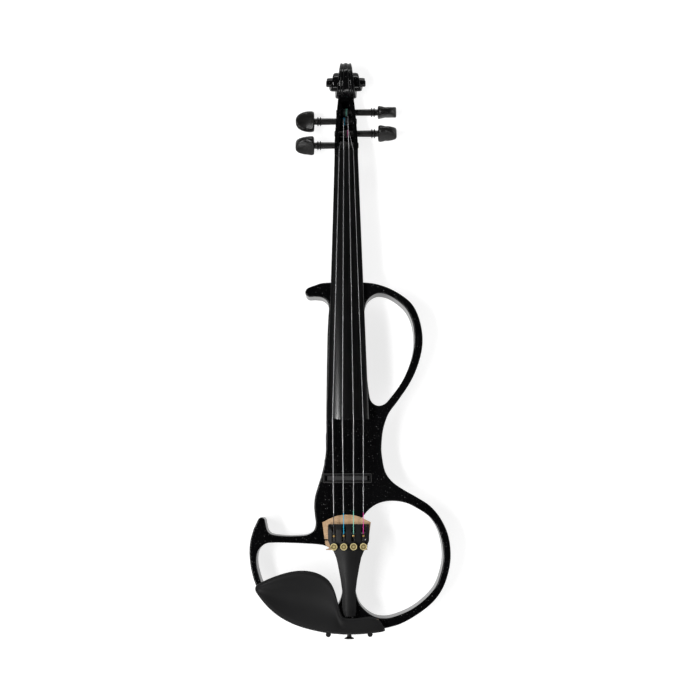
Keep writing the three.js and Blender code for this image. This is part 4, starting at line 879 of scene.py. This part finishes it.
SIDE_TURNS = {1: Matrix.Identity(4), -1: Matrix.Rotation(math.pi, 4, "Z")}
bores = []
for name, side, along, rise, turn, loops, lead in peg_rows:
    place = peg_place(along, rise)
    reach = pegbox_at(place.y)[0] + 2 * OVERRUN
    profile = [(x, peg_radius(place.y, x) + GAP) for x in (-reach, reach)]
    bores.append(turned("bore", profile, 32, SIDE_TURNS[side] @ ALONG_X, place))

joined(neck, wedge, pegbox, volute, eye)
cut(neck, flute(-1), flute(1), *bores)
outward(neck)
seat(neck, lacquer, "neck_and_scroll", angle=32)

# Fingerboard and nut
# A black board, cambered across and a little hollow along, glued to the neck and free over the body.
# The grain runs along it under a thin satin oil finish. The nut is a cambered block with four slots.
BOARD_ACROSS = 24
BOARD_ALONG = 36
board = added("grid", "cambered_fingerboard", x_subdivisions=BOARD_ACROSS, y_subdivisions=BOARD_ALONG,
              size=2)
for vertex in board.data.vertices:
    along = (vertex.co.y + 1) / 2
    y = mixed(BOARD_END, STRING_LENGTH, along)
    x = vertex.co.x * board_breadth(y) / 2
    hollow_there = 4 * BOARD_SCOOP * along * (1 - along)
    vertex.co = (x, y, crest(y) - hollow_there - camber(x))
edited(board, extruded, step=(0, 0, -BOARD_EDGE))
for vertex in board.data.vertices:
    if vertex.select:
        vertex.co.z = glue_line(vertex.co.y)
outward(board)
eased(board, 0.5, 40)
board_black = finish("board_black", (0.0015, 0.0015, 0.0017), (0.005, 0.005, 0.0052), (0.16, 0.2),
                     scale=90, fine=700, stretch=(6, 0.35, 6), bump=0.04, Specular_IOR_Level=0.45)
seat(board, board_black, "fingerboard")

refined("nut", board_black, 0.3)

# Pegs
# Four pegs of stained wood: a tapered shaft through both cheeks of the pegbox, two turned rings,
# and a dished thumb piece. Each peg is its own body and turns with the string wound on it.
PEG_HEAD_WIDTH = 22.2
PEG_HEAD_THICKNESS = 12
PEG_RING_RADIUS = 4.9
PEG_RING_WIDTH = 1.4
PEG_RING_PITCH = 2.6
PEG_NECK = 3
PEG_HEAD_SQUARE = 3
PEG_DISH_EDGE = 1.6
PEG_DISH = 0.4
peg_head_shares = [
    (0, 0.66, 0.84), (0.02, 0.86, 1), (0.06, 0.95, 1.04), (0.14, 0.99, 1), (0.3, 1, 0.86),
    (0.5, 0.96, 0.79), (0.68, 0.86, 0.81), (0.82, 0.71, 0.88), (0.91, 0.55, 0.92), (0.965, 0.39, 0.9),
    (0.99, 0.26, 0.78), (1, 0.14, 0.56),
]
peg_wood = finish("stained_peg_wood", (0.004, 0.0038, 0.0038), (0.012, 0.0115, 0.011), (0.26, 0.38),
                  scale=70, fine=1500, stretch=(0.5, 5, 5), bump=0.12, Specular_IOR_Level=0.25)


def peg_head(side, turn, place):
    """The thumb piece, full in its outline and dished on both broad sides."""
    stations = [(peg_shaft_end + along * PEG_HEAD_LENGTH, wide * PEG_HEAD_WIDTH / 2,
                 thick * PEG_HEAD_THICKNESS / 2) for along, wide, thick in peg_head_shares]
    way = SIDE_TURNS[side] @ Matrix.Rotation(side * turn, 4, "X") @ ALONG_X
    head = drawn("head", stations, 16)
    for vertex in head.data.vertices:
        wide, thick = between(stations, vertex.co.z)
        out = abs(vertex.co.x / wide) ** PEG_HEAD_SQUARE + abs(vertex.co.y / thick) ** PEG_HEAD_SQUARE
        vertex.co.x /= out ** (1 / PEG_HEAD_SQUARE)
        vertex.co.y /= out ** (1 / PEG_HEAD_SQUARE)

    def broad(face):
        along = (face.calc_center_median().z - peg_shaft_end) / PEG_HEAD_LENGTH
        return 0.05 < along < 0.88 and abs(face.normal.y) > 0.7

    edited(head, bpy.ops.mesh.inset, broad, thickness=PEG_DISH_EDGE, depth=-PEG_DISH)
    modify(head, "SUBSURF", levels=2, render_levels=2)
    moved(head, place, way)
    outward(head)
    return head


for name, side, along, rise, turn, loops, lead in peg_rows:
    place = peg_place(along, rise)
    outer = peg_shaft_end - PEG_NECK - PEG_RING_WIDTH
    tip = -(pegbox_at(place.y)[0] + PEG_TIP_PROUD)
    profile = [(tip, PEG_TIP_RADIUS * 0.8), (tip + 0.5, PEG_TIP_RADIUS)]
    for x in (outer - PEG_RING_PITCH, outer):
        shaft = peg_radius(place.y, x)
        profile.append((x - 0.2, shaft))
        for k in range(7):
            swell = math.sin(math.pi * k / 6)
            profile.append((x + PEG_RING_WIDTH * k / 6, mixed(shaft, PEG_RING_RADIUS, swell ** 0.6)))
        profile.append((x + PEG_RING_WIDTH + 0.2, shaft))
    profile += [(peg_shaft_end - 0.6, PEG_TIP_RADIUS + 0.2), (peg_shaft_end + 1.2, PEG_TIP_RADIUS + 1)]
    peg = turned(f"peg_{name}_turned", profile, 40, SIDE_TURNS[side] @ ALONG_X, place)
    joined(peg, peg_head(side, turn, place))
    outward(peg)
    seat(peg, peg_wood, f"peg_{name}", angle=40)

# Strings
# Four strings of steel ribbon wound on a core, each in its own colour of silk at both ends. The silk
# shows before the tailpiece and again where the string is wound on its peg.
STRING_RADII = (0.42, 0.4, 0.36, 0.32)
STRING_NAMES = ("g", "d", "a", "e")
NUT_SPREAD = 14.9
BRIDGE_SPREAD = 33.6
string_shares = (-1, -0.36, 0.36, 1)
STRING_CLEAR = 0.35
NUT_LENGTH = 5.5
TUNER_SPREAD = 29.2
tuner_shares = (-1, -0.33, 0.33, 1)
BALL_LINE = -57.05
BALL_HEIGHT = 53.62
WINDING_AIR = 0.5
WINDING_STEPS = 32
SILK_LINES = (-34.5, -34.5, -32, -34)
# Painted shade: the silk wound on the pegs is darkened to this share of its colour, for the shade inside
# the pegbox
SILK_PAINTED_SHADE = 0.6
SILK_END = 0.2
# how far across each peg, from the lead, the winding keeps its silk colour; past that it is near black
SILK_REACH = {"g": 3, "d": 2, "a": 2.2, "e": 1.9}
silk_colours = {
    "g": ((0.01, 0.01, 0.011), (0.05, 0.05, 0.055)),
    "d": ((0.004, 0.28, 0.5), (0.01, 0.45, 0.72)),
    "a": ((0.12, 0.5, 0.38), (0.3, 0.68, 0.56)),
    "e": ((0.55, 0.005, 0.22), (0.8, 0.02, 0.36)),
}


def ribbed(material, pitch, depth):
    """Fine turns of ribbon or thread, laid side by side along a string."""
    tree = material.node_tree
    turns = add_node(tree, "TexWave", surface(tree), math.pi / 10 / pitch, bands_direction="Y")
    fill_named(tree, tree.nodes["Bump"], Strength=0.5, Distance=depth, Height=turns.outputs["Fac"])
    return material


def string_steel(name, silk_line, dark, light):
    """Steel ribbon, with silk thread over its tail end."""
    material = ribbed(finish(f"string_{name}_ribbon", (0.3, 0.3, 0.31), (0.44, 0.44, 0.45),
                             (0.28, 0.4), scale=400, fine=3000), 0.0003, 0.00004)
    tree = material.node_tree
    tail_end = (TO_FRAME @ Vector((0, silk_line, 0))).y
    silk = add_math(tree, "LESS_THAN", spot(tree)["Y"], tail_end)
    tinted(material, silk, mix_colours(tree, tree.nodes["Group"].outputs["Fine"], dark, light))
    fill_named(tree, tree.nodes["Principled BSDF"], Metallic=add_math(tree, "SUBTRACT", 1, silk))
    return material


def over_board(k, y):
    along = (STRING_LENGTH - y) / BOARD_LENGTH
    share = (STRING_LENGTH - y) / STRING_LENGTH
    x = string_shares[k] * mixed(NUT_SPREAD, BRIDGE_SPREAD, share) / 2
    clear = STRING_CLEAR + STRING_RADII[k]
    return Vector((x, y, crest(y) - camber(x) + clear + (clear if along > 1 else 0)))


for k, (name, side, along, rise, turn, loops, lead_share) in enumerate(peg_rows):
    radius = STRING_RADII[k]
    lead = lead_share * PEGBOX_HALF
    axis = peg_place(along, rise)
    nut_top = over_board(k, STRING_LENGTH + NUT_LENGTH / 2)
    reach = peg_radius(axis.y, side * lead) + GAP + radius
    dy, dz = nut_top.y - axis.y, nut_top.z - axis.z
    meet_angle = math.atan2(dz, dy) - math.acos(reach / math.hypot(dy, dz))

    def round_peg(x, angle):
        return Vector((x, axis.y + reach * math.cos(angle), axis.z + reach * math.sin(angle)))

    meet = round_peg(lead, meet_angle)
    back = nut_top.copy()
    back.y = NUT_BACK
    back.z -= math.tan(NECK_ANGLE) * NUT_LENGTH / 2
    start = Vector((tuner_shares[k] * TUNER_SPREAD / 2, BALL_LINE + 1.7, BALL_HEIGHT))
    bend = 2 * radius
    slope = (meet - back).normalized()
    points = [start, over_board(k, BOARD_END - bend), over_board(k, BOARD_END + bend),
              over_board(k, STRING_LENGTH), back, back + slope * bend * 2, meet]
    string = wire(f"string_{name}_wound", points, radius, 12)
    steel = string_steel(name, SILK_LINES[k], *silk_colours[name])
    seat(string, steel, f"string_{name}", angle=60)

    pitch = 2 * radius + WINDING_AIR
    turns = []
    for step in range(round((loops + 1) * WINDING_STEPS) + 1):
        gone = step / WINDING_STEPS
        turns.append(round_peg(lead - side * pitch * gone, meet_angle - 2 * math.pi * gone))
    winding = wire(f"winding_{name}_silk", turns, radius, 12)
    # Painted shade: the silk on the peg is painted darker for the shade inside the pegbox
    shaded_silk_colours = [tuple(part * SILK_PAINTED_SHADE for part in colour) for colour in silk_colours[name]]
    silk = ribbed(finish(f"silk_{name}", *shaded_silk_colours, (0.45, 0.7), scale=900, fine=4000, Sheen_Weight=0.1),
                  0.0004, 0.00006)
    ends = [(TO_FRAME @ Vector((lead - side * (SILK_REACH[name] + off), 0, 0))).x
            for off in (-SILK_END, SILK_END)]
    tree = silk.node_tree
    tinted(silk, spread(tree, spot(tree)["X"], 0, 1, *ends), grey(0.008))
    seat(winding, silk, f"winding_{name}", angle=60)

# Tailpiece and fine tuners
# A faceted black moulding, hollow under its head, where four steel levers rock on one cross pin. A
# knurled gilt screw pushes each lever down. The washer round each screw stays on the moulding.
TUNER_LINE = -67.3
KNOB_RADIUS = 3.4
KNOB_BASE = 57.6
KNOB_HEIGHT = 3.4
KNOB_TEETH = 32
KNOB_DISH = 1.1
# how far each step of the knob's face goes in, and up
KNOB_STEPS = ((0.4, 0), (0.12, -KNOB_DISH), (1.3, 0), (0.1, KNOB_DISH * 0.4))
WASHER_LOW = 54.3
WASHER_TOP = 54.8
WASHER_RADIUS = 3.95
WASHER_BORE = 1.6
CROWN_HALF = 3.2
moulded_black = finish("moulded_black", (0.009, 0.009, 0.0093), (0.013, 0.013, 0.0134), (0.34, 0.44),
                       scale=40, fine=1800, bump=0.1, Specular_IOR_Level=0.13)

tuner_steel = metal("tuner_steel", (0.05, 0.05, 0.052), (0.11, 0.11, 0.112), (0.22, 0.36), bump=0.04,
                    stretch=(1, 6, 1))
gilt = metal("gilt", (0.56, 0.42, 0.17), (0.66, 0.51, 0.24), (0.24, 0.38), 500)
# A brighter plating for the knobs, darker down in the dish
dished_gilt = metal("dished_gilt", (0.74, 0.62, 0.29), (0.86, 0.73, 0.38), (0.3, 0.44), 500, metallic=0.9)
tree = dished_gilt.node_tree
knob_top = (KNOB_BASE + KNOB_HEIGHT) * MM
sunk = spread(tree, spot(tree)["Z"], 1, 0, knob_top - KNOB_DISH * MM, knob_top - 0.2 * MM)
tinted(dished_gilt, sunk, (0.27, 0.215, 0.095))
brass_ball = metal("brass_ball", (0.3, 0.19, 0.07), (0.42, 0.28, 0.11), (0.25, 0.4), 500)


def crowned(piece):
    """The ridge down the middle is planed off to a narrow crown."""
    def ridge(edge):
        middle = all(abs(end.co.x) < 0.3 for end in edge.verts)
        return middle and all(face.normal.z > 0.5 for face in edge.link_faces)

    edited(piece, bpy.ops.mesh.bevel, ridge, "edges", offset=CROWN_HALF, segments=3, affect="EDGES")


refined("tailpiece", moulded_black, 0.55, 8, 3, 40, shape=crowned)
refined("tuner_axle", tuner_steel, 0.2)


def knurled(name, radius, low, high, teeth, tooth):
    """A disc with upright grooves round its rim."""
    def groove(face):
        middle = face.calc_center_median()
        around_rim = math.atan2(middle.y, middle.x) % (2 * math.pi) * teeth / math.pi
        return abs(face.normal.z) < 0.5 and int(around_rim) % 2 == 0

    disc = turned(name, [(low, radius), (high, radius)], 2 * teeth)
    edited(disc, bpy.ops.mesh.inset, groove, thickness=radius / teeth * 0.2, depth=-tooth,
           use_individual=True)
    return disc


def on_top(face):
    return face.normal.z > 0.9


def top_disc(face):
    return on_top(face) and len(face.verts) > 8


for k, name in enumerate(STRING_NAMES):
    place = Vector((tuner_shares[k] * TUNER_SPREAD / 2, TUNER_LINE, 0))
    for part, material in (("tuner_lever", tuner_steel), ("tuner_screw", gilt),
                           ("string_ball", brass_ball)):
        refined(f"{part}_{name}", material, 0.12, smooth=50)
    knob = knurled(f"tuner_knob_{name}_knurled", KNOB_RADIUS, KNOB_BASE, KNOB_BASE + KNOB_HEIGHT,
                   KNOB_TEETH, 0.14)
    edited(knob, bpy.ops.mesh.inset, on_top, thickness=0.35, depth=0)
    for thickness, depth in KNOB_STEPS:
        edited(knob, bpy.ops.mesh.inset, top_disc, thickness=thickness, depth=depth)
    outward(knob)
    eased(knob, 0.07, 50, 1)
    moved(knob, place)
    seat(knob, dished_gilt, f"tuner_knob_{name}", angle=30)
    washer = turned(f"tuner_washer_{name}", [
        (WASHER_LOW, WASHER_RADIUS), (WASHER_TOP - 0.15, WASHER_RADIUS), (WASHER_TOP, WASHER_RADIUS - 0.2),
        (WASHER_TOP, WASHER_BORE), (WASHER_LOW, WASHER_BORE)], place=place)
    outward(washer)
    seat(washer, moulded_black, angle=30)

# Bridge
# A thin maple blade with a heart and two feet, cut from a block with its flecks towards the front. It
# isn't set up: it lies flat between the tailpiece and the strings.
BRIDGE_X = -2
BRIDGE_HEIGHT = 34.8
BRIDGE_HALF = 24.2
BRIDGE_LINE = -71.1
BRIDGE_THICKNESS = (4.3, 1.8)
# Painted shade under the tailpiece: half width, middle line and half length of the dark patch painted on
# the bridge
TAILPIECE_SHADE_HALF = 18
TAILPIECE_SHADE_LINE = -56
TAILPIECE_SHADE_REACH = 8
bridge_stretches = [
    [(0, 1), (0.22, 0.99), (0.45, 0.955), (0.68, 0.895), (0.88, 0.825), (1, 0.785)],
    [(1, 0.785), (0.99, 0.73), (0.95, 0.52), (0.91, 0.31)],
    [(0.91, 0.31), (0.66, 0.3)],
    [(0.66, 0.3), (0.645, 0.2875), (0.66, 0.275)],
    [(0.66, 0.275), (0.89, 0.265)],
    [(0.89, 0.265), (0.86, 0.14), (0.72, 0.06), (0.855, 0.022)],
    [(0.855, 0.022), (0.855, 0)],
    [(0.855, 0), (0.5, 0)],
    [(0.5, 0), (0.52, 0.06), (0.6, 0.12), (0.58, 0.18), (0.35, 0.235), (0, 0.25)],
]
heart_shares = [
    (0, 0.46), (0.13, 0.55), (0.15, 0.63), (0.08, 0.66), (0, 0.62), (-0.08, 0.66), (-0.15, 0.63),
    (-0.13, 0.55),
]


def bridge_point(share):
    return Vector((share[0] * BRIDGE_HALF, share[1] * BRIDGE_HEIGHT))


right_side = []
for stretch in bridge_stretches:
    right_side += smooth_line([bridge_point(share) for share in stretch])[:-1]
left_side = [Vector((-point.x, point.y)) for point in reversed(right_side[1:])]
heart = smooth_line([bridge_point(share) for share in heart_shares], closed=True)
blade = sawn("maple_bridge", [right_side + left_side, heart], 0, 1, 0.12)
for vertex in blade.data.vertices:
    vertex.co.z *= mixed(*BRIDGE_THICKNESS, vertex.co.y / BRIDGE_HEIGHT)
moved(blade, (BRIDGE_X, BRIDGE_LINE, BODY_FRONT + GAP))
maple = finish("bridge_maple", (0.46, 0.285, 0.15), (0.6, 0.4, 0.23), (0.42, 0.55), scale=45,
               fine=1200, stretch=(1, 3, 1), bump=0.08)
tree = maple.node_tree
long_fleck = add_node(tree, "Mapping", surface(tree))
fill(tree, (1, 3.2, 1), long_fleck.inputs["Scale"])
rays = place_group(tree, flecks, long_fleck.outputs["Vector"], Scale=480, Size=0.32, Share=0.5)
tinted(maple, rays["Mask"], (0.33, 0.18, 0.08))

# Painted shade: where the blade lies under the moulding, the wood is painted dark for the tailpiece's
# shadow
place = spot(tree)
tailpiece_shade_line = (TO_FRAME @ Vector((0, TAILPIECE_SHADE_LINE, 0))).y
across = spread(tree, away_from(tree, place["X"], 0), 1, 0, TAILPIECE_SHADE_HALF * MM, (TAILPIECE_SHADE_HALF + 1) * MM)
along = spread(tree, away_from(tree, place["Y"], tailpiece_shade_line), 1, 0, TAILPIECE_SHADE_REACH * MM, (TAILPIECE_SHADE_REACH + 1.5) * MM)
tinted(maple, add_math(tree, "MULTIPLY", across, along), (0.03, 0.014, 0.006))
seat(blade, maple, "bridge", angle=40, flat=True)

# Pickup
# A black frame let into the front across the bridge line, lighter grey in a band along its outer edge, with
# the pressure pad of dark grey rubber in its window.
PALE_EDGE_WIDTH = 0.8 * MM
satin_black = finish("satin_black_plastic", (0.006, 0.006, 0.0063), (0.012, 0.012, 0.0124),
                     (0.34, 0.46), scale=60, fine=1600, bump=0.08, Specular_IOR_Level=0.4)
frame_black = finish("frame_black", (0.002, 0.002, 0.0022), (0.006, 0.006, 0.0062), (0.3, 0.4),
                     scale=60, fine=1600, bump=0.08, Specular_IOR_Level=0.2)
tree = frame_black.node_tree
place = spot(tree)
low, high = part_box("pickup_frame")
edges = []
for axis, start, stop in (("X", low.x, high.x), ("Y", low.y, high.y)):
    half = (stop - start) / 2
    away = away_from(tree, place[axis], (start + stop) / 2)
    edges.append(spread(tree, away, 0, 1, half - PALE_EDGE_WIDTH, half - PALE_EDGE_WIDTH / 2))
tinted(frame_black, add_math(tree, "MAXIMUM", *edges), grey(0.035))
pad_rubber = finish("pad_rubber", grey(0.028), grey(0.042), (0.5, 0.65), scale=200, fine=1600,
                    bump=0.15, Specular_IOR_Level=0.1)
refined("pickup_frame", frame_black, 0.35)
refined("pickup_pad", pad_rubber, 0.35)

# Tail end
# The hard black saddle in the edge, the turned button plugged into the tail, and the loop of gut
# that runs from the tailpiece over the saddle and round the neck of the button.
GUT_RADIUS = 0.9
GUT_SPREAD = 6.8
GUT_START = -125
GUT_HEIGHT = 49.3
SADDLE_RISE = 2.2
refined("saddle", board_black, 0.5)
button_face = BODY_TAIL - GAP
button_profile = [(BODY_TAIL + BUTTON_DEPTH, 2.7), (BODY_TAIL + BUTTON_DEPTH - 0.4, 3)]
button_profile += [(button_face - out, radius) for out, radius in (
    (0, 3), (0, 5.2), (0.3, 5.4), (0.9, 5.35), (1.3, 4.5), (1.6, 2.9), (2.4, 2.2), (4.6, 2.1), (7.8, 2.2),
    (8.6, 2.6), (9.2, 3.5), (9.7, 4.8), (10.1, 5), (10.5, 4.8), (10.7, 4), (10.8, 0.6),
)]
button = turned("turned_end_button", button_profile, 48, ALONG_Y, (0, 0, BUTTON_HEIGHT))
outward(button)
seat(button, peg_wood, "end_button", angle=30)

gut_x = GUT_SPREAD / 2
gut_crown = BODY_FRONT + SADDLE_RISE + GAP + GUT_RADIUS
gut_loop = button_face - 1.6 - GUT_RADIUS - GAP
tailpiece_end = -136
gut_side = [
    (GUT_START, GUT_HEIGHT), (tailpiece_end - GUT_RADIUS, GUT_HEIGHT),
    (BODY_TAIL + 5.5 + GUT_RADIUS, gut_crown + GAP), (BODY_TAIL + SADDLE_RISE, gut_crown),
    (BODY_TAIL - GUT_RADIUS, gut_crown - GUT_RADIUS), (gut_loop, gut_crown - GUT_RADIUS * 3),
]
gut_turn = []
for k in range(17):
    angle = math.pi * (1 + k / 16)
    gut_turn.append(Vector((gut_x * math.cos(angle), gut_loop, BUTTON_HEIGHT + gut_x * math.sin(angle))))
gut_line = [Vector((-gut_x, y, z)) for y, z in gut_side] + gut_turn
gut_line += [Vector((gut_x, y, z)) for y, z in reversed(gut_side)]
gut = wire("tail_gut_loop", gut_line, GUT_RADIUS, 16)
gut_black = finish("gut_black", (0.012, 0.012, 0.012), (0.03, 0.03, 0.03), (0.35, 0.5), scale=300,
                   fine=2000, bump=0.1)
seat(gut, gut_black, "tail_gut", angle=60)

# Chinrest and its clamp
# A dished cup to the bass side with an arm across the tail, moulded in matte black. Two corked feet
# stand on the front, and two plated turnbuckles pull a corked foot up under the back.
CHIN_SPAN = 128
CHIN_LEFT = -92.6
CHIN_BREADTH = 64
CHIN_TAIL = -153.5
CHIN_BASE = 43.3
CHIN_HEIGHT = 17.4
CHIN_DISH = 11
CHIN_UNDER = CHIN_BASE + 0.42 * CHIN_HEIGHT
CHIN_RIM = 5
chin_shares = [
    (0, 0.735, 0.68, 0.62, 0.02), (0.016, 0.785, 0.63, 0.8, 0.06), (0.052, 0.82, 0.53, 0.95, 0.22),
    (0.114, 0.88, 0.39, 1, 0.36), (0.192, 0.936, 0.266, 1, 0.46), (0.286, 0.985, 0.166, 0.99, 0.5),
    (0.38, 1, 0.1, 0.97, 0.5), (0.473, 0.965, 0.055, 0.95, 0.44), (0.536, 0.9, 0.03, 0.93, 0.36),
    (0.587, 0.81, 0.016, 0.91, 0.27), (0.621, 0.65, 0.01, 0.89, 0.2), (0.644, 0.45, 0.007, 0.87, 0.14),
    (0.668, 0.268, 0.003, 0.85, 0.05), (0.708, 0.264, 0, 0.83, 0.05), (0.762, 0.256, 0, 0.81, 0.04),
    (0.825, 0.27, 0.006, 0.79, 0.03), (0.887, 0.286, 0.014, 0.76, 0.03), (0.946, 0.245, 0.028, 0.72, 0.02),
    (0.981, 0.155, 0.04, 0.66, 0.02), (1, 0.085, 0.055, 0.58, 0.01),
]


def chin_ring(along, front_share, tail_share, rim_share, dish_share):
    x = CHIN_LEFT + along * CHIN_SPAN
    front, tail = (CHIN_TAIL + share * CHIN_BREADTH for share in (front_share, tail_share))
    rim = CHIN_BASE + rim_share * CHIN_HEIGHT
    dish = rim - dish_share * CHIN_DISH
    edge = min(CHIN_RIM, (front - tail) * 0.22)
    lip, waist = mixed(rim, CHIN_UNDER, 0.12), mixed(rim, CHIN_UNDER, 0.5)
    slope = mixed(rim, dish, 0.8)
    return [Vector((x, y, z)) for y, z in (
        (front - edge / 3, CHIN_UNDER), (front, waist), (front - edge / 4, lip), (front - edge, rim),
        (mixed(front, tail, 1 / 3), slope), (mixed(front, tail, 0.5), dish),
        (mixed(front, tail, 2 / 3), slope), (tail + edge, rim), (tail + edge / 4, lip), (tail, waist),
        (tail + edge / 3, CHIN_UNDER))]


shape = bmesh.new()
chin_rings = [[shape.verts.new(point) for point in chin_ring(*row)] for row in chin_shares]
for before, after in zip(chin_rings, chin_rings[1:]):
    for k in range(len(before)):
        follow = (k + 1) % len(before)
        shape.faces.new((before[k], before[follow], after[follow], after[k]))
shape.faces.new(chin_rings[0])
shape.faces.new(chin_rings[-1])
chinrest = formed("moulded_chinrest", shape)
outward(chinrest)
modify(chinrest, "SUBSURF", levels=2, render_levels=2)
CLAMP_LINE = -152.9
CLAMP_SPREAD = 41
CHIN_FOOT = 12.5
CHIN_FOOT_X = 22.75
LUG_RADIUS = 2.5
BARREL_LOW = 17
BARREL_HIGH = 38
# how far in from either end, and the radius there
barrel_end = [(0, 1.6), (0, 2.4), (0.2, 2.6), (3.3, 2.6), (3.6, 2.2)]
barrel_profile = [(BARREL_LOW + inward, radius) for inward, radius in barrel_end]
barrel_profile += [(BARREL_HIGH - inward, radius) for inward, radius in reversed(barrel_end)]
barrel_profile.append(barrel_profile[0])
for side in (-1, 1):
    foot = box("foot", around(side * CHIN_FOOT_X, CHIN_FOOT), (BODY_TAIL + 0.8, BODY_TAIL + 10.2),
               (CHIN_BASE, CHIN_UNDER + 3))
    eased(foot, 0.6)
    lug_profile = [(CHIN_UNDER, LUG_RADIUS - 0.2), (CHIN_UNDER + 0.2, LUG_RADIUS),
                   (CHIN_UNDER + 5, LUG_RADIUS)]
    lug = turned("lug", lug_profile, 32, place=(side * CLAMP_SPREAD / 2, CLAMP_LINE, 0))
    joined(chinrest, foot, lug)
matte_black = finish("matte_black_moulding", (0.009, 0.009, 0.0092), (0.012, 0.012, 0.0123),
                     (0.42, 0.54), scale=30, fine=2200, bump=0.14, Specular_IOR_Level=0.1)
outward(chinrest)
seat(chinrest, matte_black, "chinrest", angle=50)

cork = finish("cork", (0.38, 0.22, 0.1), (0.6, 0.4, 0.22), (0.8, 0.95), scale=500, fine=1800, bump=0.5)
tree = cork.node_tree
crumbs = place_group(tree, flecks, tree.nodes["Mapping"].outputs["Vector"], Scale=700, Size=0.4, Share=0.35)
tinted(cork, crumbs["Mask"], (0.2, 0.1, 0.04))
chrome = metal("plated_chrome", (0.74, 0.75, 0.76), (0.82, 0.83, 0.84), (0.06, 0.14), bump=0.02)
for side_name, side in (("left", -1), ("right", 1)):
    refined(f"chinrest_cork_{side_name}", cork, 0.2)
    refined(f"clamp_stud_{side_name}", chrome, 0.15)
    barrel = turned(f"clamp_barrel_{side_name}_turned", barrel_profile, 40)
    outward(barrel)
    middle = (0, 0, (BARREL_LOW + BARREL_HIGH) / 2)
    cut(barrel, turned("bore", [(-4, 0.7), (4, 0.7)], 24, ALONG_X, middle))
    moved(barrel, (side * CLAMP_SPREAD / 2, CLAMP_LINE, 0))
    seat(barrel, chrome, f"clamp_barrel_{side_name}", angle=30)
refined("clamp_foot", chrome, 0.4, 20, 3)
refined("clamp_foot_cork", cork, 0.3)

# Electronics in the back
# A black cover over the bay carries the volume and tone pots with ribbed knobs and the sliding power
# switch. The board hangs from the bay's ceiling, two sockets open on the side, and the battery sits
# behind a hinged door.
refined("control_cover", satin_black, 0.3)
pot_steel = metal("pot_steel", (0.45, 0.45, 0.46), (0.6, 0.6, 0.61), (0.3, 0.45), 150)
board_green = finish("board_green", (0.012, 0.09, 0.035), (0.03, 0.17, 0.07), (0.3, 0.42), scale=250,
                     fine=2500, bump=0.1)
cell_case = finish("cell_case", (0.11, 0.12, 0.13), (0.17, 0.18, 0.19), (0.3, 0.42), scale=60,
                   fine=1800, bump=0.05, Metallic=0.4)
CONTROL_RADIUS = 8
CONTROL_X = 15
CONTROL_LINES = {"volume": 34, "tone": 4}
CONTROL_TOP = 8.9
CONTROL_HEIGHT = 5.2
CONTROL_TEETH = 24
SHAFT_RADIUS = 3
SHAFT_TOP = 14.9


def under_disc(face):
    return face.normal.z < -0.9 and len(face.verts) > 8


low = CONTROL_TOP - CONTROL_HEIGHT
for name, line in CONTROL_LINES.items():
    refined(f"{name}_pot", pot_steel, 0.2)
    grip = knurled(f"{name}_knob_ribbed", CONTROL_RADIUS, low, CONTROL_TOP, CONTROL_TEETH, 0.35)
    outward(grip)
    for thickness, depth in ((0.9, 0), (1.6, -0.5)):
        edited(grip, bpy.ops.mesh.inset, under_disc, thickness=thickness, depth=depth)
    cut(grip, box("mark", around(0, 0.9), (2.2, 7.6), (low - 0.5, low + 0.4)))
    joined(grip, turned("shaft", [(low + 2, SHAFT_RADIUS), (SHAFT_TOP, SHAFT_RADIUS)], 32))
    outward(grip)
    moved(grip, (CONTROL_X, line, 0))
    seat(grip, satin_black, f"{name}_knob", angle=30)
dark_nickel = metal("dark_nickel", (0.06, 0.06, 0.063), (0.12, 0.12, 0.124), (0.25, 0.38), bump=0.03)
for node, material, edge in (
    ("power_switch", moulded_black, 0.25), ("preamp_board", board_green, 0.12),
    ("output_jack", dark_nickel, 0.25), ("headphone_jack", dark_nickel, 0.2),
    ("battery_door", satin_black, 0.3), ("battery", cell_case, 0.5),
):
    refined(node, material, edge)

SCREW_INSET = 3
SCREW_FACE = 9.05
SCREW_RADIUS = 1.9
SCREW_TURN = 0.6
screw_heads = []
for side_x in (-1, 1):
    for side_y in (-1, 1):
        place = (COVER_MIDDLE[0] + side_x * (COVER_SIZE[0] / 2 - SCREW_INSET),
                 COVER_MIDDLE[1] + side_y * (COVER_SIZE[1] / 2 - SCREW_INSET), 0)
        head = turned("screw", [
            (SCREW_FACE + 0.23, 0.4), (SCREW_FACE, SCREW_RADIUS - 0.6), (SCREW_FACE + 0.15, SCREW_RADIUS),
            (SCREW_FACE + 0.55, SCREW_RADIUS)], 32, place=place)
        for turn in (SCREW_TURN, SCREW_TURN + math.pi / 2):
            slot_cut = box("slot", around(0, 0.4), around(0, 2), (SCREW_FACE - 0.55, SCREW_FACE + 0.3))
            moved(slot_cut, place, Matrix.Rotation(turn, 4, "Z"))
            cut(head, slot_cut)
        screw_heads.append(head)
alone(screw_heads[0])
for head in screw_heads:
    head.select_set(True)
bpy.ops.object.join()
heads = bpy.context.object
heads.name = "cover_screws"
seat(heads, chrome, angle=30)
